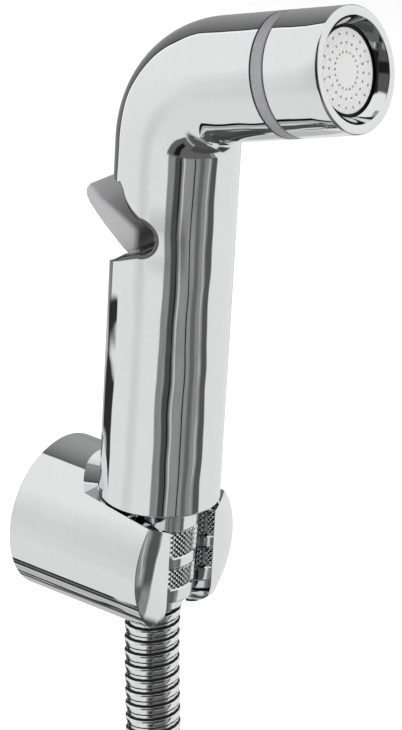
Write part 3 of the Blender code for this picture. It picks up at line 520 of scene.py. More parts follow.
def drawn_in(outline, share):
    """The outline moved inward, by more the further forward a point lies."""
    moved = []
    for i, (y, z) in enumerate(outline):
        before = outline[i - 1]
        after = outline[(i + 1) % len(outline)]
        ahead = Vector((after[0] - before[0], after[1] - before[1])).normalized()
        width = ROLL_WIDTH * min(max((ROLL_START - y) / 0.007, 0), 1) * (1 - 0.45 * max(0, -ahead.x))
        moved.append((y + ahead.y * width * share, z - ahead.x * width * share))
    return moved


def surface_x(y):
    """Half the width of the handle at a distance along Y."""
    return math.sqrt(max(HANDLE_RADIUS ** 2 - (y - HANDLE_Y) ** 2, 0.0088 ** 2))


def rolled_tool(name, outline):
    """A solid across the handle whose outline opens towards the handle's surface like a trumpet."""
    sections = [(math.sin(math.radians(turn)), ROLL_DEPTH * (1 - math.cos(math.radians(turn))))
                for turn in range(0, 91, 15)]
    half = [(0, None), (0, -0.0006)] + sections
    shape = bmesh.new()
    rings = []
    for side in (-1, 1):
        for share, depth in (half if side < 0 else reversed(half)):
            rings.append([shape.verts.new((side * (0.03 if depth is None else surface_x(y) - depth), y, z))
                          for y, z in drawn_in(outline, share)])
    for low_ring, high_ring in zip(rings, rings[1:]):
        for i in range(len(outline)):
            j = (i + 1) % len(outline)
            shape.faces.new((low_ring[i], low_ring[j], high_ring[j], high_ring[i]))
    shape.faces.new(rings[0])
    shape.faces.new(rings[-1])
    clean(shape)
    return as_tool(name, shape)


# %% Cut the opening, then round its edges
def off_the_round(point):
    """How far a point lies from the handle's outside."""
    return abs(math.hypot(point.co.x, point.co.y - HANDLE_Y) - HANDLE_RADIUS)


def opening_rim(edge):
    """True for the sharp edges on the handle's outside that go round the opening."""
    start, end = edge.verts
    return (edge.calc_face_angle(0) > math.radians(30)
            and OPENING_LIP - 0.01 < start.co.z < OPENING_TOP + 0.002
            and HANDLE_FOOT + 0.01 < end.co.z
            and off_the_round(start) < 0.0002 and off_the_round(end) < 0.0002)


cut(body, rolled_tool("opening_tool", opening))
print("edges round the opening:", round_edges(body, opening_rim, 0.0010, 5, 34))

# %% Hollow the handset
GLAND_Y = -0.0264
CHANNEL_DROP = 0.0053
ARM_BORE = 0.0130
channel_radius = HANDLE_RADIUS - 0.0026
channel_back = THROAT_Y - THROAT_RADIUS - 0.0021
half_turn = math.degrees(math.acos((HANDLE_Y - channel_back) / channel_radius))


def drill(name, radius, low, high, y=HANDLE_Y, sides=64):
    """A bore straight up, between two heights."""
    return as_tool(name, turned([(0, high), (radius, high), (radius, low), (0, low)],
                                frame_at((0, y, 0)), sides))


channel_arc = arc((0, 0), channel_radius, -90 - half_turn, -90 + half_turn, 24)
channel = extruded([(x, HANDLE_Y + y, LOWER_BORE_TOP - CHANNEL_DROP) for x, y in channel_arc],
                   (0, 0, BEND_FOOT - LOWER_BORE_TOP + CHANNEL_DROP))
arm_hollow = bent_tube(ARM_BORE, OPENING_TOP + 0.0021, ARM_LENGTH + 0.016, 96, 24)

cut(body, side_prism("well_tool", well, LEVER_WIDTH / 2 + 0.0007))
cut(body, drill("lower_bore_tool", 0.0127, 0.0, LOWER_BORE_TOP))
cut(body, as_tool("channel_tool", channel))
cut(body, as_tool("arm_hollow_tool", arm_hollow))
cut(body, drill("gland_tool", 0.0036, LOWER_BORE_TOP + 0.0020, 0.0923, GLAND_Y, 32))
cut(body, drill("stem_tool", 0.0018, LOWER_BORE_TOP - 0.0020, 0.0923, GLAND_Y, 32))
print("handset faces:", len(body.data.polygons))

# %% Round the tube's foot and shade it
def foot_rim(edge):
    """True for the edges of the ring that the tube stands on."""
    return all(abs(point.co.z - HANDLE_FOOT) < 0.00002 and off_the_round(point) < 0.00005
               for point in edge.verts)


print("foot edges rounded:", round_edges(body, foot_rim, 0.0006, 3, 34, clamp=False))

# %% [markdown]
# A mirror finish shows every fault in a mesh's shading. Where a cut meets a round, the faces along it
# are odd slivers, and normals averaged over them would make the reflections jagged. So the corners
# that lie on the round are given the round's own normal, worked out from its centre line, and those
# of large flat faces keep the face's normal. The shape itself isn't changed by this.

# %% True normals for polished rounds
def true_normals(piece, centre_of, radius, flat_area=0.000012):
    """Give corners on a round, or on a large flat face, the normal of that surface."""
    mesh = piece.data
    near = math.cos(math.radians(30))
    surfaces = {}
    for face in mesh.polygons:
        if face.area > flat_area:
            for corner in face.vertices:
                surfaces.setdefault(corner, []).append(face.normal.copy())
    for point in mesh.vertices:
        out = point.co - centre_of(point.co)
        if abs(out.length - radius) < 0.00003:
            surfaces.setdefault(point.index, []).append(out.normalized())
    normals = [Vector() for corner in mesh.loops]
    for face in mesh.polygons:
        for corner in face.loop_indices:
            found = surfaces.get(mesh.loops[corner].vertex_index, ())
            best = max(found, key=face.normal.dot, default=None)
            if best is not None and best.dot(face.normal) > near:
                normals[corner] = best
    mesh.normals_split_custom_set(normals)
    return sum(1 for normal in normals if normal.length > 0.5)


def tube_centre(point):
    """The nearest point of the tube's centre line, on the handle, round the bend or along the arm."""
    if point.z < BEND_FOOT:
        return Vector((0, HANDLE_Y, point.z))
    along = (point - ELBOW).dot(arm_ahead)
    if along > ELBOW_TANGENT:
        return ELBOW + arm_ahead * along
    hub = Vector((0, HANDLE_Y - ELBOW_RADIUS, BEND_FOOT))
    return hub + Vector((0, point.y - hub.y, point.z - hub.z)).normalized() * ELBOW_RADIUS


print("true normals on the handset:", true_normals(body, tube_centre, HANDLE_RADIUS))

# %% [markdown]
# ## The lever
#
# The grey lever is a soft wedge: a thin thumb edge at its top, a sloping top face, and a heavy lobe
# that presses the valve. Its side outline is extruded to the lever's width and its edges are bevelled
# with several segments, so it reads as moulded and blasted metal and not as a cut block.

# %% The lever
PIVOT = Vector((0, -0.0215, 0.0880))
lever_outline = (
    (0.0111, 0.0092), (0.0109, 0.0074), (0.0098, 0.0056), (0.0046, 0.0009), (-0.0014, -0.0036),
    (-0.0032, -0.0047), (-0.0047, -0.0048), (-0.0060, -0.0039), (-0.0066, -0.0024),
    (-0.0065, 0.0018), (-0.0058, 0.0029), (-0.0030, 0.0042), (0.0062, 0.0081), (0.0084, 0.0099),
    (0.0101, 0.0106),
)
lever_shape = extruded([(-LEVER_WIDTH / 2, y, z) for y, z in lever_outline], (LEVER_WIDTH, 0, 0))
long_edges = [edge for edge in lever_shape.edges
              if abs(edge.verts[0].co.x - edge.verts[1].co.x) < 0.0001]
bmesh.ops.bevel(lever_shape, geom=long_edges, offset=0.0017, segments=8, profile=0.5, affect="EDGES",
                clamp_overlap=True, material=-1)
bmesh.ops.transform(lever_shape, matrix=Matrix.Translation(PIVOT), verts=lever_shape.verts)
lever = as_object("thumb_lever", lever_shape, sharp=50)
print("lever faces:", len(lever.data.polygons))

# %% [markdown]
# ## The head
#
# The head is a chrome sleeve with a bright conical rim, a grey trim ring behind it and a pale plate
# with three rings of jets. All of it is turned, so each piece is one outline and one spin.

# %% Trim ring and sleeve
FIT_GAP = 0.0003
TRIM_LENGTH = 0.0035
SLEEVE_LENGTH = 0.0168
trim_inside = HANDLE_RADIUS - 0.0028
trim_low = ARM_LENGTH + FIT_GAP
trim_high = trim_low + TRIM_LENGTH
sleeve_low = trim_high + FIT_GAP
face_height = sleeve_low + SLEEVE_LENGTH
lip_height = face_height - 0.0030
trim = as_object("trim_band", turned([
    (trim_inside, trim_high),
    *arc((HANDLE_RADIUS - 0.0004, trim_high - 0.0004), 0.0004, 90, 0, 3),
    *arc((HANDLE_RADIUS - 0.0004, trim_low + 0.0004), 0.0004, 0, -90, 3),
    (trim_inside, trim_low)], head_frame, 128, closed=True))

RIM_RADIUS = 0.01335
RIM_THROAT = 0.01155
sleeve = as_object("spray_sleeve", turned([
    *arc((RIM_RADIUS + 0.0004, face_height - 0.0004), 0.0004, 170, 90, 4),
    *arc((HANDLE_RADIUS - 0.0007, face_height - 0.0007), 0.0007, 90, 0, 5),
    (HANDLE_RADIUS, face_height - 0.006), (HANDLE_RADIUS, sleeve_low + 0.0003),
    (HANDLE_RADIUS - 0.0003, sleeve_low), (ARM_BORE, sleeve_low), (ARM_BORE, lip_height),
    (RIM_THROAT + 0.0003, lip_height), (RIM_THROAT, lip_height + 0.0003),
    (RIM_THROAT + 0.0003, lip_height + 0.0006)], head_frame, 160, closed=True), sharp=34)
print("sleeve faces:", len(sleeve.data.polygons))

# %% The spray plate and its jets
PLATE_RADIUS = 0.0125
# Faces of the plate beyond this radius are painted black as the shade of the gap round it.
PAINTED_SHADE_FROM = 0.0107
JET_RINGS = (0.0046, 0.0069, 0.0092)
JETS_PER_RING = 20
JET_RADIUS = 0.00036
plate_top = lip_height - FIT_GAP
plate_foot = plate_top - 0.0012
plate = as_object("jet_plate", turned([
    (0, plate_top + 0.0002), (0.0106, plate_top + 0.0002), (0.0109, plate_top - 0.0001),
    (0.0110, plate_top - 0.0008), (PLATE_RADIUS, plate_top - 0.0008),
    (PLATE_RADIUS, plate_foot), (0, plate_foot)], head_frame, 96))
jet_shape = bmesh.new()
for jet_ring in JET_RINGS:
    for i in range(JETS_PER_RING):
        angle = math.tau * i / JETS_PER_RING
        spot_on_plate = Matrix.Translation((jet_ring * math.cos(angle), jet_ring * math.sin(angle),
                                            plate_top - 0.0001))
        bmesh.ops.create_cone(jet_shape, cap_ends=True, segments=12, radius1=JET_RADIUS,
                              radius2=JET_RADIUS, depth=0.0016, matrix=spot_on_plate)
bmesh.ops.transform(jet_shape, matrix=head_frame, verts=jet_shape.verts)
clean(jet_shape)
cut(plate, as_tool("jet_tool", jet_shape))
plate.data.set_sharp_from_angle(angle=math.radians(30))
print("plate faces:", len(plate.data.polygons))

# %% [markdown]
# ## The cone nut
#
# The hose screws on with a slightly tapered nut. Three plain bands and two knurled ones alternate
# down it. Real knurling is pressed in by a roller and leaves rows of small pyramids in a diamond
# pattern. On a mesh, poking each square of a band and dissolving the old grid lines leaves diamonds,
# and poking those once more with an offset raises a pyramid on each.

# %% The nut's body
NUT_BOTTOM = -0.0127
NUT_BOTTOM_RADIUS = 0.01015
NUT_TOP_RADIUS = 0.01095
NUT_COLLAR_RADIUS = 0.0122
THREAD_BORE = 0.01075
FERRULE_RADIUS = 0.0080
KNURLS = ((0.0010, 0.0083), (-0.0083, -0.0025))


def nut_radius(height):
    """The nut's outside radius at a height on its cone."""
    share = (height - NUT_BOTTOM) / (HANDLE_FOOT - NUT_BOTTOM)
    return NUT_BOTTOM_RADIUS + share * (NUT_TOP_RADIUS - NUT_BOTTOM_RADIUS)


nut_outline = [(NUT_COLLAR_RADIUS, 0.0283), (NUT_COLLAR_RADIUS, HANDLE_FOOT + 0.0012),
               (nut_radius(HANDLE_FOOT), HANDLE_FOOT)]
for low, high in KNURLS:
    nut_outline += [(nut_radius(high + 0.0005), high + 0.0005), (nut_radius(high) - 0.00045, high),
                    (nut_radius(low) - 0.00045, low), (nut_radius(low - 0.0005), low - 0.0005)]
nut_outline += [*arc((nut_radius(NUT_BOTTOM) - 0.0006, NUT_BOTTOM + 0.0006), 0.0006, 0, -90, 4),
                (FERRULE_RADIUS + 0.0004, NUT_BOTTOM), (FERRULE_RADIUS + 0.0004, 0.0166),
                (THREAD_BORE, 0.0166), (THREAD_BORE, 0.0283)]
nut = as_object("knurled_nut", turned(nut_outline, handle_frame, 128, closed=True), sharp=24)
print("nut faces:", len(nut.data.polygons))


# %% Knurled bands
def knurl(name, low, high, around=44):
    """A band of small pyramids in diamonds, on the nut's cone between two heights."""
    shape = bmesh.new()
    tall = math.tau * nut_radius((low + high) / 2) / around
    rows = round((high - low) / tall)
    steps = [low + (high - low) * i / rows for i in range(rows + 1)]
    row_of_points(shape, [(nut_radius(step) - 0.0003, 0, step) for step in steps])
    full_turn(shape, around)
    grid = [edge for edge in shape.edges if not edge.is_boundary]
    bmesh.ops.poke(shape, faces=shape.faces[:], offset=0.0)
    bmesh.ops.dissolve_edges(shape, edges=grid, use_verts=False)
    bmesh.ops.poke(shape, faces=shape.faces[:], offset=0.00034)
    clean(shape)
    bmesh.ops.transform(shape, matrix=handle_frame, verts=shape.verts)
    return as_object(name, shape, smooth=False)


knurl_bands = [knurl(f"knurl_{i}", low, high) for i, (low, high) in enumerate(KNURLS)]
print("knurl faces:", [len(band.data.polygons) for band in knurl_bands])

# %% [markdown]
# ## Ferrules and the end nut
#
# The hose is crimped into a plain ferrule at each end. At the loose end a hexagon nut turns on its
# ferrule. The hexagon is a cone of six sides whose corners are cut back by a spun tool, as a lathe
# does with hexagon bar, and its flats keep sharp edges with a fine bevel.

# %% Ferrules
FERRULE_BOTTOM = -0.0160
FLANGE_RADIUS = 0.01015
upper_ferrule = as_object("upper_hose_cap", turned([
    (FLANGE_RADIUS, 0.0184), (FLANGE_RADIUS, 0.0166), (FERRULE_RADIUS, 0.0166),
    *arc((FERRULE_RADIUS - 0.0005, FERRULE_BOTTOM + 0.0005), 0.0005, 0, -90, 4),
    (0.0042, FERRULE_BOTTOM), (0.0042, 0.0184)], handle_frame, 96, closed=True))

hose_end = Vector(HOSE_TAIL[-1])
end_frame = frame_at(hose_end)
flange_top = -0.0003 - 0.0215
lower_ferrule = as_object("lower_hose_cap", turned([
    *arc((FERRULE_RADIUS - 0.0005, -0.0008), 0.0005, 90, 0, 4), (FERRULE_RADIUS, flange_top),
    (FLANGE_RADIUS, flange_top), (FLANGE_RADIUS, flange_top - 0.0018), (0.0042, flange_top - 0.0018),
    (0.0042, -0.0003)], end_frame, 96, closed=True))

# %% Hexagon nut
hex_top = flange_top + 0.0003 + 0.0110
hex_foot = hex_top - 0.0215
hex_radius = 0.0120 / math.cos(math.pi / 6)
hex_shape = bmesh.new()
bmesh.ops.create_cone(hex_shape, cap_ends=True, segments=6, radius1=hex_radius, radius2=hex_radius,
                      depth=hex_top - hex_foot,
                      matrix=end_frame @ Matrix.Translation((0, 0, (hex_top + hex_foot) / 2)))
clean(hex_shape)
upright = [edge for edge in hex_shape.edges
           if abs(edge.verts[0].co.z - edge.verts[1].co.z) > 0.001]
bmesh.ops.bevel(hex_shape, geom=upright, offset=0.0004, segments=3, profile=0.5, affect="EDGES",
                material=-1)
hexagon = as_object("supply_hexagon", hex_shape, smooth=False)
crown = as_tool("crown_tool", turned([
    (2 * hex_radius, hex_top + 0.0006), (2 * hex_radius, hex_foot - 0.0006), (0.0120, hex_foot - 0.0006),
    (hex_radius, hex_foot + 0.0012), (hex_radius, hex_top - 0.0012), (0.0120, hex_top + 0.0006)],
    end_frame, 96, closed=True))
nut_hollow = as_tool("hollow_tool", turned([
    (0, hex_top + 0.002), (FERRULE_RADIUS + 0.0004, hex_top + 0.002),
    (FERRULE_RADIUS + 0.0004, flange_top + 0.0003), (THREAD_BORE, flange_top + 0.0003),
    (THREAD_BORE, hex_foot - 0.002), (0, hex_foot - 0.002)], end_frame, 96))
cut(hexagon, crown)
cut(hexagon, nut_hollow)
shade_smooth(hexagon, 24)
print("hexagon faces:", len(hexagon.data.polygons))

# %% [markdown]
# ## The bracket
#
# The bracket is a short fat cylinder that stands out from the wall. A faintly domed band runs round
# the edge of its nose. Its top is cut away in a step, and the cut slopes down to the front and dips
# towards the slot, so that the handle's foot seats itself. A tapered pocket takes the nut, and a slot
# through the nose leaves two arms. It is spun from one outline and cut with a tool for each of these.
# The cut edges are then rounded a little, because cast and polished metal has no knife edges.

# %% The bracket's solid
BRACKET_RADIUS = 0.02125
BRACKET_LENGTH = 0.0448
NOSE_BAND = 0.0063
NOSE_TILT = (12, 26)
SLOT_HALF = 0.0097
recess = BRACKET_RADIUS - 0.0028
inner_tilt, outer_tilt = (math.radians(angle) for angle in NOSE_TILT)
crown_radius = NOSE_BAND / (math.sin(outer_tilt) - math.sin(inner_tilt))
crown_centre = (BRACKET_RADIUS - crown_radius * math.sin(outer_tilt),
                BRACKET_LENGTH - crown_radius * math.cos(inner_tilt))
nose = arc(crown_centre, crown_radius, 90 - NOSE_TILT[0], 90 - NOSE_TILT[1], 10)
bracket_outline = [(0, BRACKET_LENGTH), *nose]
bracket_outline += [(BRACKET_RADIUS, nose[-1][1] * (1 - i / 8)) for i in range(1, 8)]
bracket_outline += [(BRACKET_RADIUS, 0.0004), (BRACKET_RADIUS - 0.0004, 0), (recess, 0), (recess, 0.0100),
                    (0.0065, 0.0100), (0.0065, 0.0065), (0, 0.0065)]
bracket = as_object("fork_bracket", turned(bracket_outline, bracket_frame, 192), smooth=False)

# %% The seat's step and slope
SEAT_SLOPE = math.radians(5.4)
SEAT_DIP = 0.42
STEP_REACH = 0.01395
STEP_LEAN = 1.19
seat_middle = HANDLE_FOOT - 0.0010
slope = math.tan(SEAT_SLOPE)
step_y = HANDLE_Y + STEP_REACH
step_z = seat_middle + slope * STEP_REACH
front_y = -BRACKET_LENGTH - 0.0003
seat_tool = side_prism("seat_tool", [
    (front_y, seat_middle + slope * (front_y - HANDLE_Y)), (step_y, step_z),
    (step_y + STEP_LEAN * BRACKET_RADIUS, step_z + BRACKET_RADIUS), (front_y, step_z + BRACKET_RADIUS)],
    1.5 * BRACKET_RADIUS)
quarter = SLOT_HALF / 2
dip_high = SEAT_DIP * (BRACKET_RADIUS - HANDLE_RADIUS)
dip_low = SEAT_DIP * (quarter - HANDLE_RADIUS)
dip_outline = [(-BRACKET_RADIUS, dip_high), (-quarter, dip_low), (quarter, dip_low),
               (BRACKET_RADIUS, dip_high), (BRACKET_RADIUS, BRACKET_RADIUS),
               (-BRACKET_RADIUS, BRACKET_RADIUS)]
dip_shape = extruded([(x, -1.1 * HANDLE_RADIUS, z) for x, z in dip_outline], (0, HANDLE_RADIUS, 0))
bmesh.ops.transform(dip_shape, matrix=frame_at((0, HANDLE_Y, seat_middle), SEAT_SLOPE),
                    verts=dip_shape.verts)
dip_tool = as_tool("dip_tool", dip_shape)
foot_tool = drill("foot_tool", HANDLE_RADIUS + 0.0004, HANDLE_FOOT - 0.0003, 2 * BRACKET_RADIUS, sides=160)
print("seat falls", round(1000 * (step_z - seat_middle), 2), "mm from its step to the handle's axis")

# %% The chin, where the arms' undersides curve up to the nose
CHIN_REACH = 0.0098
CHIN_ROUND = 0.0120
chin_y = -BRACKET_LENGTH + CHIN_REACH
chin_z = -math.sqrt(BRACKET_RADIUS ** 2 - SLOT_HALF ** 2)
chin_turn = 180 + math.degrees(math.acos((CHIN_REACH + 0.0003) / CHIN_ROUND))
chin_tool = side_prism("chin_tool", [
    *arc((chin_y, chin_z + CHIN_ROUND), CHIN_ROUND, 270, chin_turn, 24),
    (front_y, -2 * BRACKET_RADIUS), (chin_y, -2 * BRACKET_RADIUS)], 1.5 * BRACKET_RADIUS)
print("the chin begins", round(1000 * CHIN_REACH, 1), "mm behind the nose")

# %% The pocket, the slot and the screw's hole
pocket_tool = as_tool("pocket_tool", turned([
    (0, 0.025), (nut_radius(0.025) + 0.00035, 0.025), (nut_radius(-0.025) + 0.00035, -0.025),
    (0, -0.025)], handle_frame, 128))
slot_shape = bmesh.new()
slot_size = Matrix.Diagonal((2 * SLOT_HALF, 0.0448, 0.05, 1))
bmesh.ops.create_cube(slot_shape, size=1, matrix=Matrix.Translation((0, HANDLE_Y - 0.0224, 0)) @ slot_size)
slot_tool = as_tool("slot_tool", slot_shape)
screw_tool = as_tool("screw_tool", turned([
    (0, 0.0333), (0.0047, 0.0333), (0.0047, 0.0185), (0.0027, 0.0185), (0.0027, -0.001),
    (0, -0.001)], bracket_frame, 48))
for tool in (seat_tool, dip_tool, foot_tool, chin_tool, pocket_tool, slot_tool, screw_tool):
    cut(bracket, tool)
print("bracket faces:", len(bracket.data.polygons))


# %% Round the bracket's cut edges
def outside_edge(edge):
    """True for sharp edges that show: not those of the screw hole, nor those behind the disc."""
    return (edge.is_manifold and edge.calc_face_angle(0) > math.radians(35)
            and all(point.co.y < -0.011 and (abs(point.co.x) > 0.005 or point.co.z > 0.006)
                    for point in edge.verts))


print("bracket edges rounded:", round_edges(bracket, outside_edge, 0.0004, 4, 35, join_flats=True))
print("true normals on the bracket:",
      true_normals(bracket, lambda point: Vector((0, point.y, 0)), BRACKET_RADIUS))

# %% [markdown]
# ## Shared surface effects
#
# Two effects are used by more than one finish, so each is a node group with named sockets. The first
# is the very faint waviness and haze of polished metal: a large slow noise bends the reflections, and
# a finer one changes the roughness. The second is the fine grain of blasted or moulded surfaces. The
# groups put out only values and heights, and every shader stays in its own material.

# %% Helpers for node groups
def new_group(name, inputs, outputs):
    """A shader node group with float inputs (name, default) and outputs (name, socket type)."""
    group = bpy.data.node_groups.new(name, "ShaderNodeTree")
    for label, value in inputs:
        socket = group.interface.new_socket(label, in_out="INPUT", socket_type="NodeSocketFloat")
        socket.default_value = value
    for label, kind in outputs:
        group.interface.new_socket(label, in_out="OUTPUT", socket_type=kind)
    entry = group.nodes.new("NodeGroupInput")
    leave = group.nodes.new("NodeGroupOutput")
    return group, entry, leave


def node(tree, kind, **settings):
    """A node with its settings. A setting named after an input socket sets that socket."""
    made = tree.nodes.new(kind)
    for name, value in settings.items():
        if hasattr(made, name):
            setattr(made, name, value)
        else:
            made.inputs[name.replace("_", " ")].default_value = value
    return made


def math_node(tree, operation, first, second=None):
    """A Math node whose inputs are sockets or plain numbers."""
    made = tree.nodes.new("ShaderNodeMath")
    made.operation = operation
    for slot_number, value in enumerate((first, second)):
        if value is None:
            continue
        if isinstance(value, (int, float)):
            made.inputs[slot_number].default_value = value
        else:
            tree.links.new(value, made.inputs[slot_number])
    return made.outputs[0]


# %% Polish: waviness and haze
polish, entry, leave = new_group(
    "polish", [("Wave Size", 120.0), ("Haze Size", 700.0), ("Haze", 0.02), ("Base", 0.04)],
    [("Height", "NodeSocketFloat"), ("Roughness", "NodeSocketFloat"), ("Haze Mask", "NodeSocketFloat")])
place = node(polish, "ShaderNodeTexCoord")
wave = node(polish, "ShaderNodeTexNoise", Detail=1.5, Roughness=0.45)
haze = node(polish, "ShaderNodeTexNoise", Detail=4.0, Roughness=0.6)
polish.links.new(place.outputs["Object"], wave.inputs["Vector"])
polish.links.new(place.outputs["Object"], haze.inputs["Vector"])
polish.links.new(entry.outputs["Wave Size"], wave.inputs["Scale"])
polish.links.new(entry.outputs["Haze Size"], haze.inputs["Scale"])
polish.links.new(wave.outputs["Fac"], leave.inputs["Height"])
spread = math_node(polish, "MULTIPLY", haze.outputs["Fac"], entry.outputs["Haze"])
polish.links.new(math_node(polish, "ADD", spread, entry.outputs["Base"]), leave.inputs["Roughness"])
polish.links.new(haze.outputs["Fac"], leave.inputs["Haze Mask"])

# %% Grain: blasted and moulded surfaces
grain, entry, leave = new_group(
    "grain", [("Grain Size", 3000.0), ("Blotch Size", 160.0), ("Contrast", 0.5)],
    [("Height", "NodeSocketFloat"), ("Tone", "NodeSocketFloat")])
place = node(grain, "ShaderNodeTexCoord")
fine = node(grain, "ShaderNodeTexNoise", Detail=3.0, Roughness=0.7)
blotch = node(grain, "ShaderNodeTexNoise", Detail=2.0, Roughness=0.5)
grain.links.new(place.outputs["Object"], fine.inputs["Vector"])
grain.links.new(place.outputs["Object"], blotch.inputs["Vector"])
grain.links.new(entry.outputs["Grain Size"], fine.inputs["Scale"])
grain.links.new(entry.outputs["Blotch Size"], blotch.inputs["Scale"])
grain.links.new(fine.outputs["Fac"], leave.inputs["Height"])
centred = math_node(grain, "SUBTRACT", blotch.outputs["Fac"], 0.5)
swing = math_node(grain, "MULTIPLY", centred, entry.outputs["Contrast"])
grain.links.new(math_node(grain, "ADD", swing, 0.5), leave.inputs["Tone"])
print("effect groups:", polish.name, grain.name)


# %% A material with one shader
def new_material(name, metallic, roughness, **sockets):
    made = bpy.data.materials.new(name)
    made.use_nodes = True
    shader = made.node_tree.nodes["Principled BSDF"]
    shader.inputs["Metallic"].default_value = metallic
    shader.inputs["Roughness"].default_value = roughness
    for label, value in sockets.items():
        shader.inputs[label.replace("_", " ")].default_value = value
    return made, made.node_tree, shader


def add_bump(tree, shader, height, strength, distance):
    """A Bump node from a height to the shader's normal."""
    bump = tree.nodes.new("ShaderNodeBump")
    bump.inputs["Strength"].default_value = strength
    bump.inputs["Distance"].default_value = distance
    tree.links.new(height, bump.inputs["Height"])
    tree.links.new(bump.outputs["Normal"], shader.inputs["Normal"])


def two_tones(tree, shader, fac, dark, light):
    """Mix two colours by a value into the base colour."""
    mix = tree.nodes.new("ShaderNodeMix")
    mix.data_type = "RGBA"
    mix.inputs["A"].default_value = (*dark, 1)
    mix.inputs["B"].default_value = (*light, 1)
    tree.links.new(fac, mix.inputs["Factor"])
    tree.links.new(mix.outputs["Result"], shader.inputs["Base Color"])


# %% [markdown]
# ## Chrome
#
# Chrome plate is an almost perfect mirror, a little darker than silver. What one sees on it is the
# room, so the material itself is simple: full metallic, very low roughness and a faint waviness. The
# tube's waves are long, so the streaks that run along it wander gently, and those of the cast bracket
# are shorter and lower. The strip of the hose and the turned nut have values of their own. The rolled
# edge of the opening gets a dark chrome whose dark base colour is painted shade and a painted
# reflection of the handle's dark inside.

# %% Chrome finishes
def chrome(name, wave_size, wave_height, base=0.03, haze_amount=0.03, light=(0.86, 0.865, 0.87),
           dark=(0.80, 0.805, 0.81)):
    made, tree, shader = new_material(name, 1.0, base)
    effect = tree.nodes.new("ShaderNodeGroup")
    effect.node_tree = polish
    effect.inputs["Wave Size"].default_value = wave_size
    effect.inputs["Haze"].default_value = haze_amount
    effect.inputs["Base"].default_value = base
    tree.links.new(effect.outputs["Roughness"], shader.inputs["Roughness"])
    two_tones(tree, shader, effect.outputs["Haze Mask"], dark, light)
    add_bump(tree, shader, effect.outputs["Height"], 1.0, wave_height)
    return made


tube_chrome = chrome("tube_chrome", 26, 0.0022, base=0.015, haze_amount=0.015)
cast_chrome = chrome("cast_chrome", 45, 0.00035, base=0.02, haze_amount=0.02)
head_chrome = chrome("head_chrome", 60, 0.0002, base=0.015, haze_amount=0.015)
# A dark base colour on chrome: painted shade and a painted reflection of the handle's dark inside, for the
# rolled edge.
painted_shade_edge_chrome = chrome("painted_shade_edge_chrome", 200, 0.00004, base=0.05, haze_amount=0.04, light=(0.17, 0.17, 0.175),
                     dark=(0.11, 0.11, 0.112))
nut_chrome = chrome("nut_chrome", 300, 0.00003, base=0.06, haze_amount=0.06)
hose_chrome = chrome("hose_chrome", 300, 0.00003, base=0.12, haze_amount=0.08, light=(0.90, 0.905, 0.91),
                     dark=(0.82, 0.825, 0.83))
print("chrome finishes:", [name for name in bpy.data.materials.keys() if name.endswith("_chrome")])


# %% [markdown]
# ## Satin grey, plate white, rubber and the hidden metals
#
# The lever is a satin mid grey with a very fine grain, and the trim ring a darker one. The jet plate
# is pale moulded plastic. Rubber shows on the tie and the washers, and its black is also painted shade
# in the gap round the jet plate. Brass, steel and zinc are on pieces that only the inside and the wall
# side show, and they still get the grain of turned or cast metal. The inside of the handle and the
# parts in it lie in deep shade, so a nearly black finish paints that shade there and in the hose's
# grooves.

# %% Other finishes
def grained(name, dark, light, metallic, roughness, grain_size, depth, **sockets):
    made, tree, shader = new_material(name, metallic, roughness, **sockets)
    effect = tree.nodes.new("ShaderNodeGroup")
    effect.node_tree = grain
    effect.inputs["Grain Size"].default_value = grain_size
    two_tones(tree, shader, effect.outputs["Tone"], dark, light)
    add_bump(tree, shader, effect.outputs["Height"], 0.6, depth)
    return made


satin_grey = grained("satin_grey", (0.245, 0.245, 0.25), (0.30, 0.30, 0.305), 0.30, 0.44, 4000, 0.00002)
trim_grey = grained("trim_grey", (0.165, 0.165, 0.17), (0.205, 0.205, 0.21), 0.30, 0.42, 4000, 0.00002)
plate_white = grained("plate_white", (0.54, 0.54, 0.54), (0.60, 0.60, 0.595), 0.0, 0.40, 2600, 0.00001,
                      Coat_Weight=0.2)
# Black rubber for the tie and the washers; the same black is painted shade in the gap round the jet plate.
black_rubber = grained("black_rubber", (0.020, 0.020, 0.021), (0.035, 0.035, 0.035), 0.0, 0.62, 3200,
                       0.00004)
turned_brass = grained("turned_brass", (0.62, 0.46, 0.22), (0.74, 0.57, 0.30), 1.0, 0.28, 2400, 0.00002)
plain_steel = grained("plain_steel", (0.56, 0.56, 0.56), (0.66, 0.65, 0.64), 1.0, 0.26, 2600, 0.00002)
# Nearly black: painted shade inside the handle, on the parts in it and in the hose's grooves.
painted_shade_black = grained("painted_shade_black", (0.012, 0.012, 0.012), (0.022, 0.022, 0.022), 0.4, 0.60, 1500, 0.00006)
cast_zinc = grained("cast_zinc", (0.46, 0.47, 0.48), (0.58, 0.59, 0.60), 1.0, 0.46, 1500, 0.00006)
other_finishes = (satin_grey, trim_grey, plate_white, black_rubber, turned_brass, plain_steel,
                  painted_shade_black, cast_zinc)
print("other finishes:", [finish.name for finish in other_finishes])

# %% [markdown]
# ## Give every piece its finish
#
# A dictionary names the finish of each piece of this scene, and another that of each CAD node that
# stays. Each new piece then stands for its CAD node and rides on the node's body.

# %% Finishes of the new pieces
def paint(piece, material):
    piece.data.materials.clear()
    piece.data.materials.append(material)


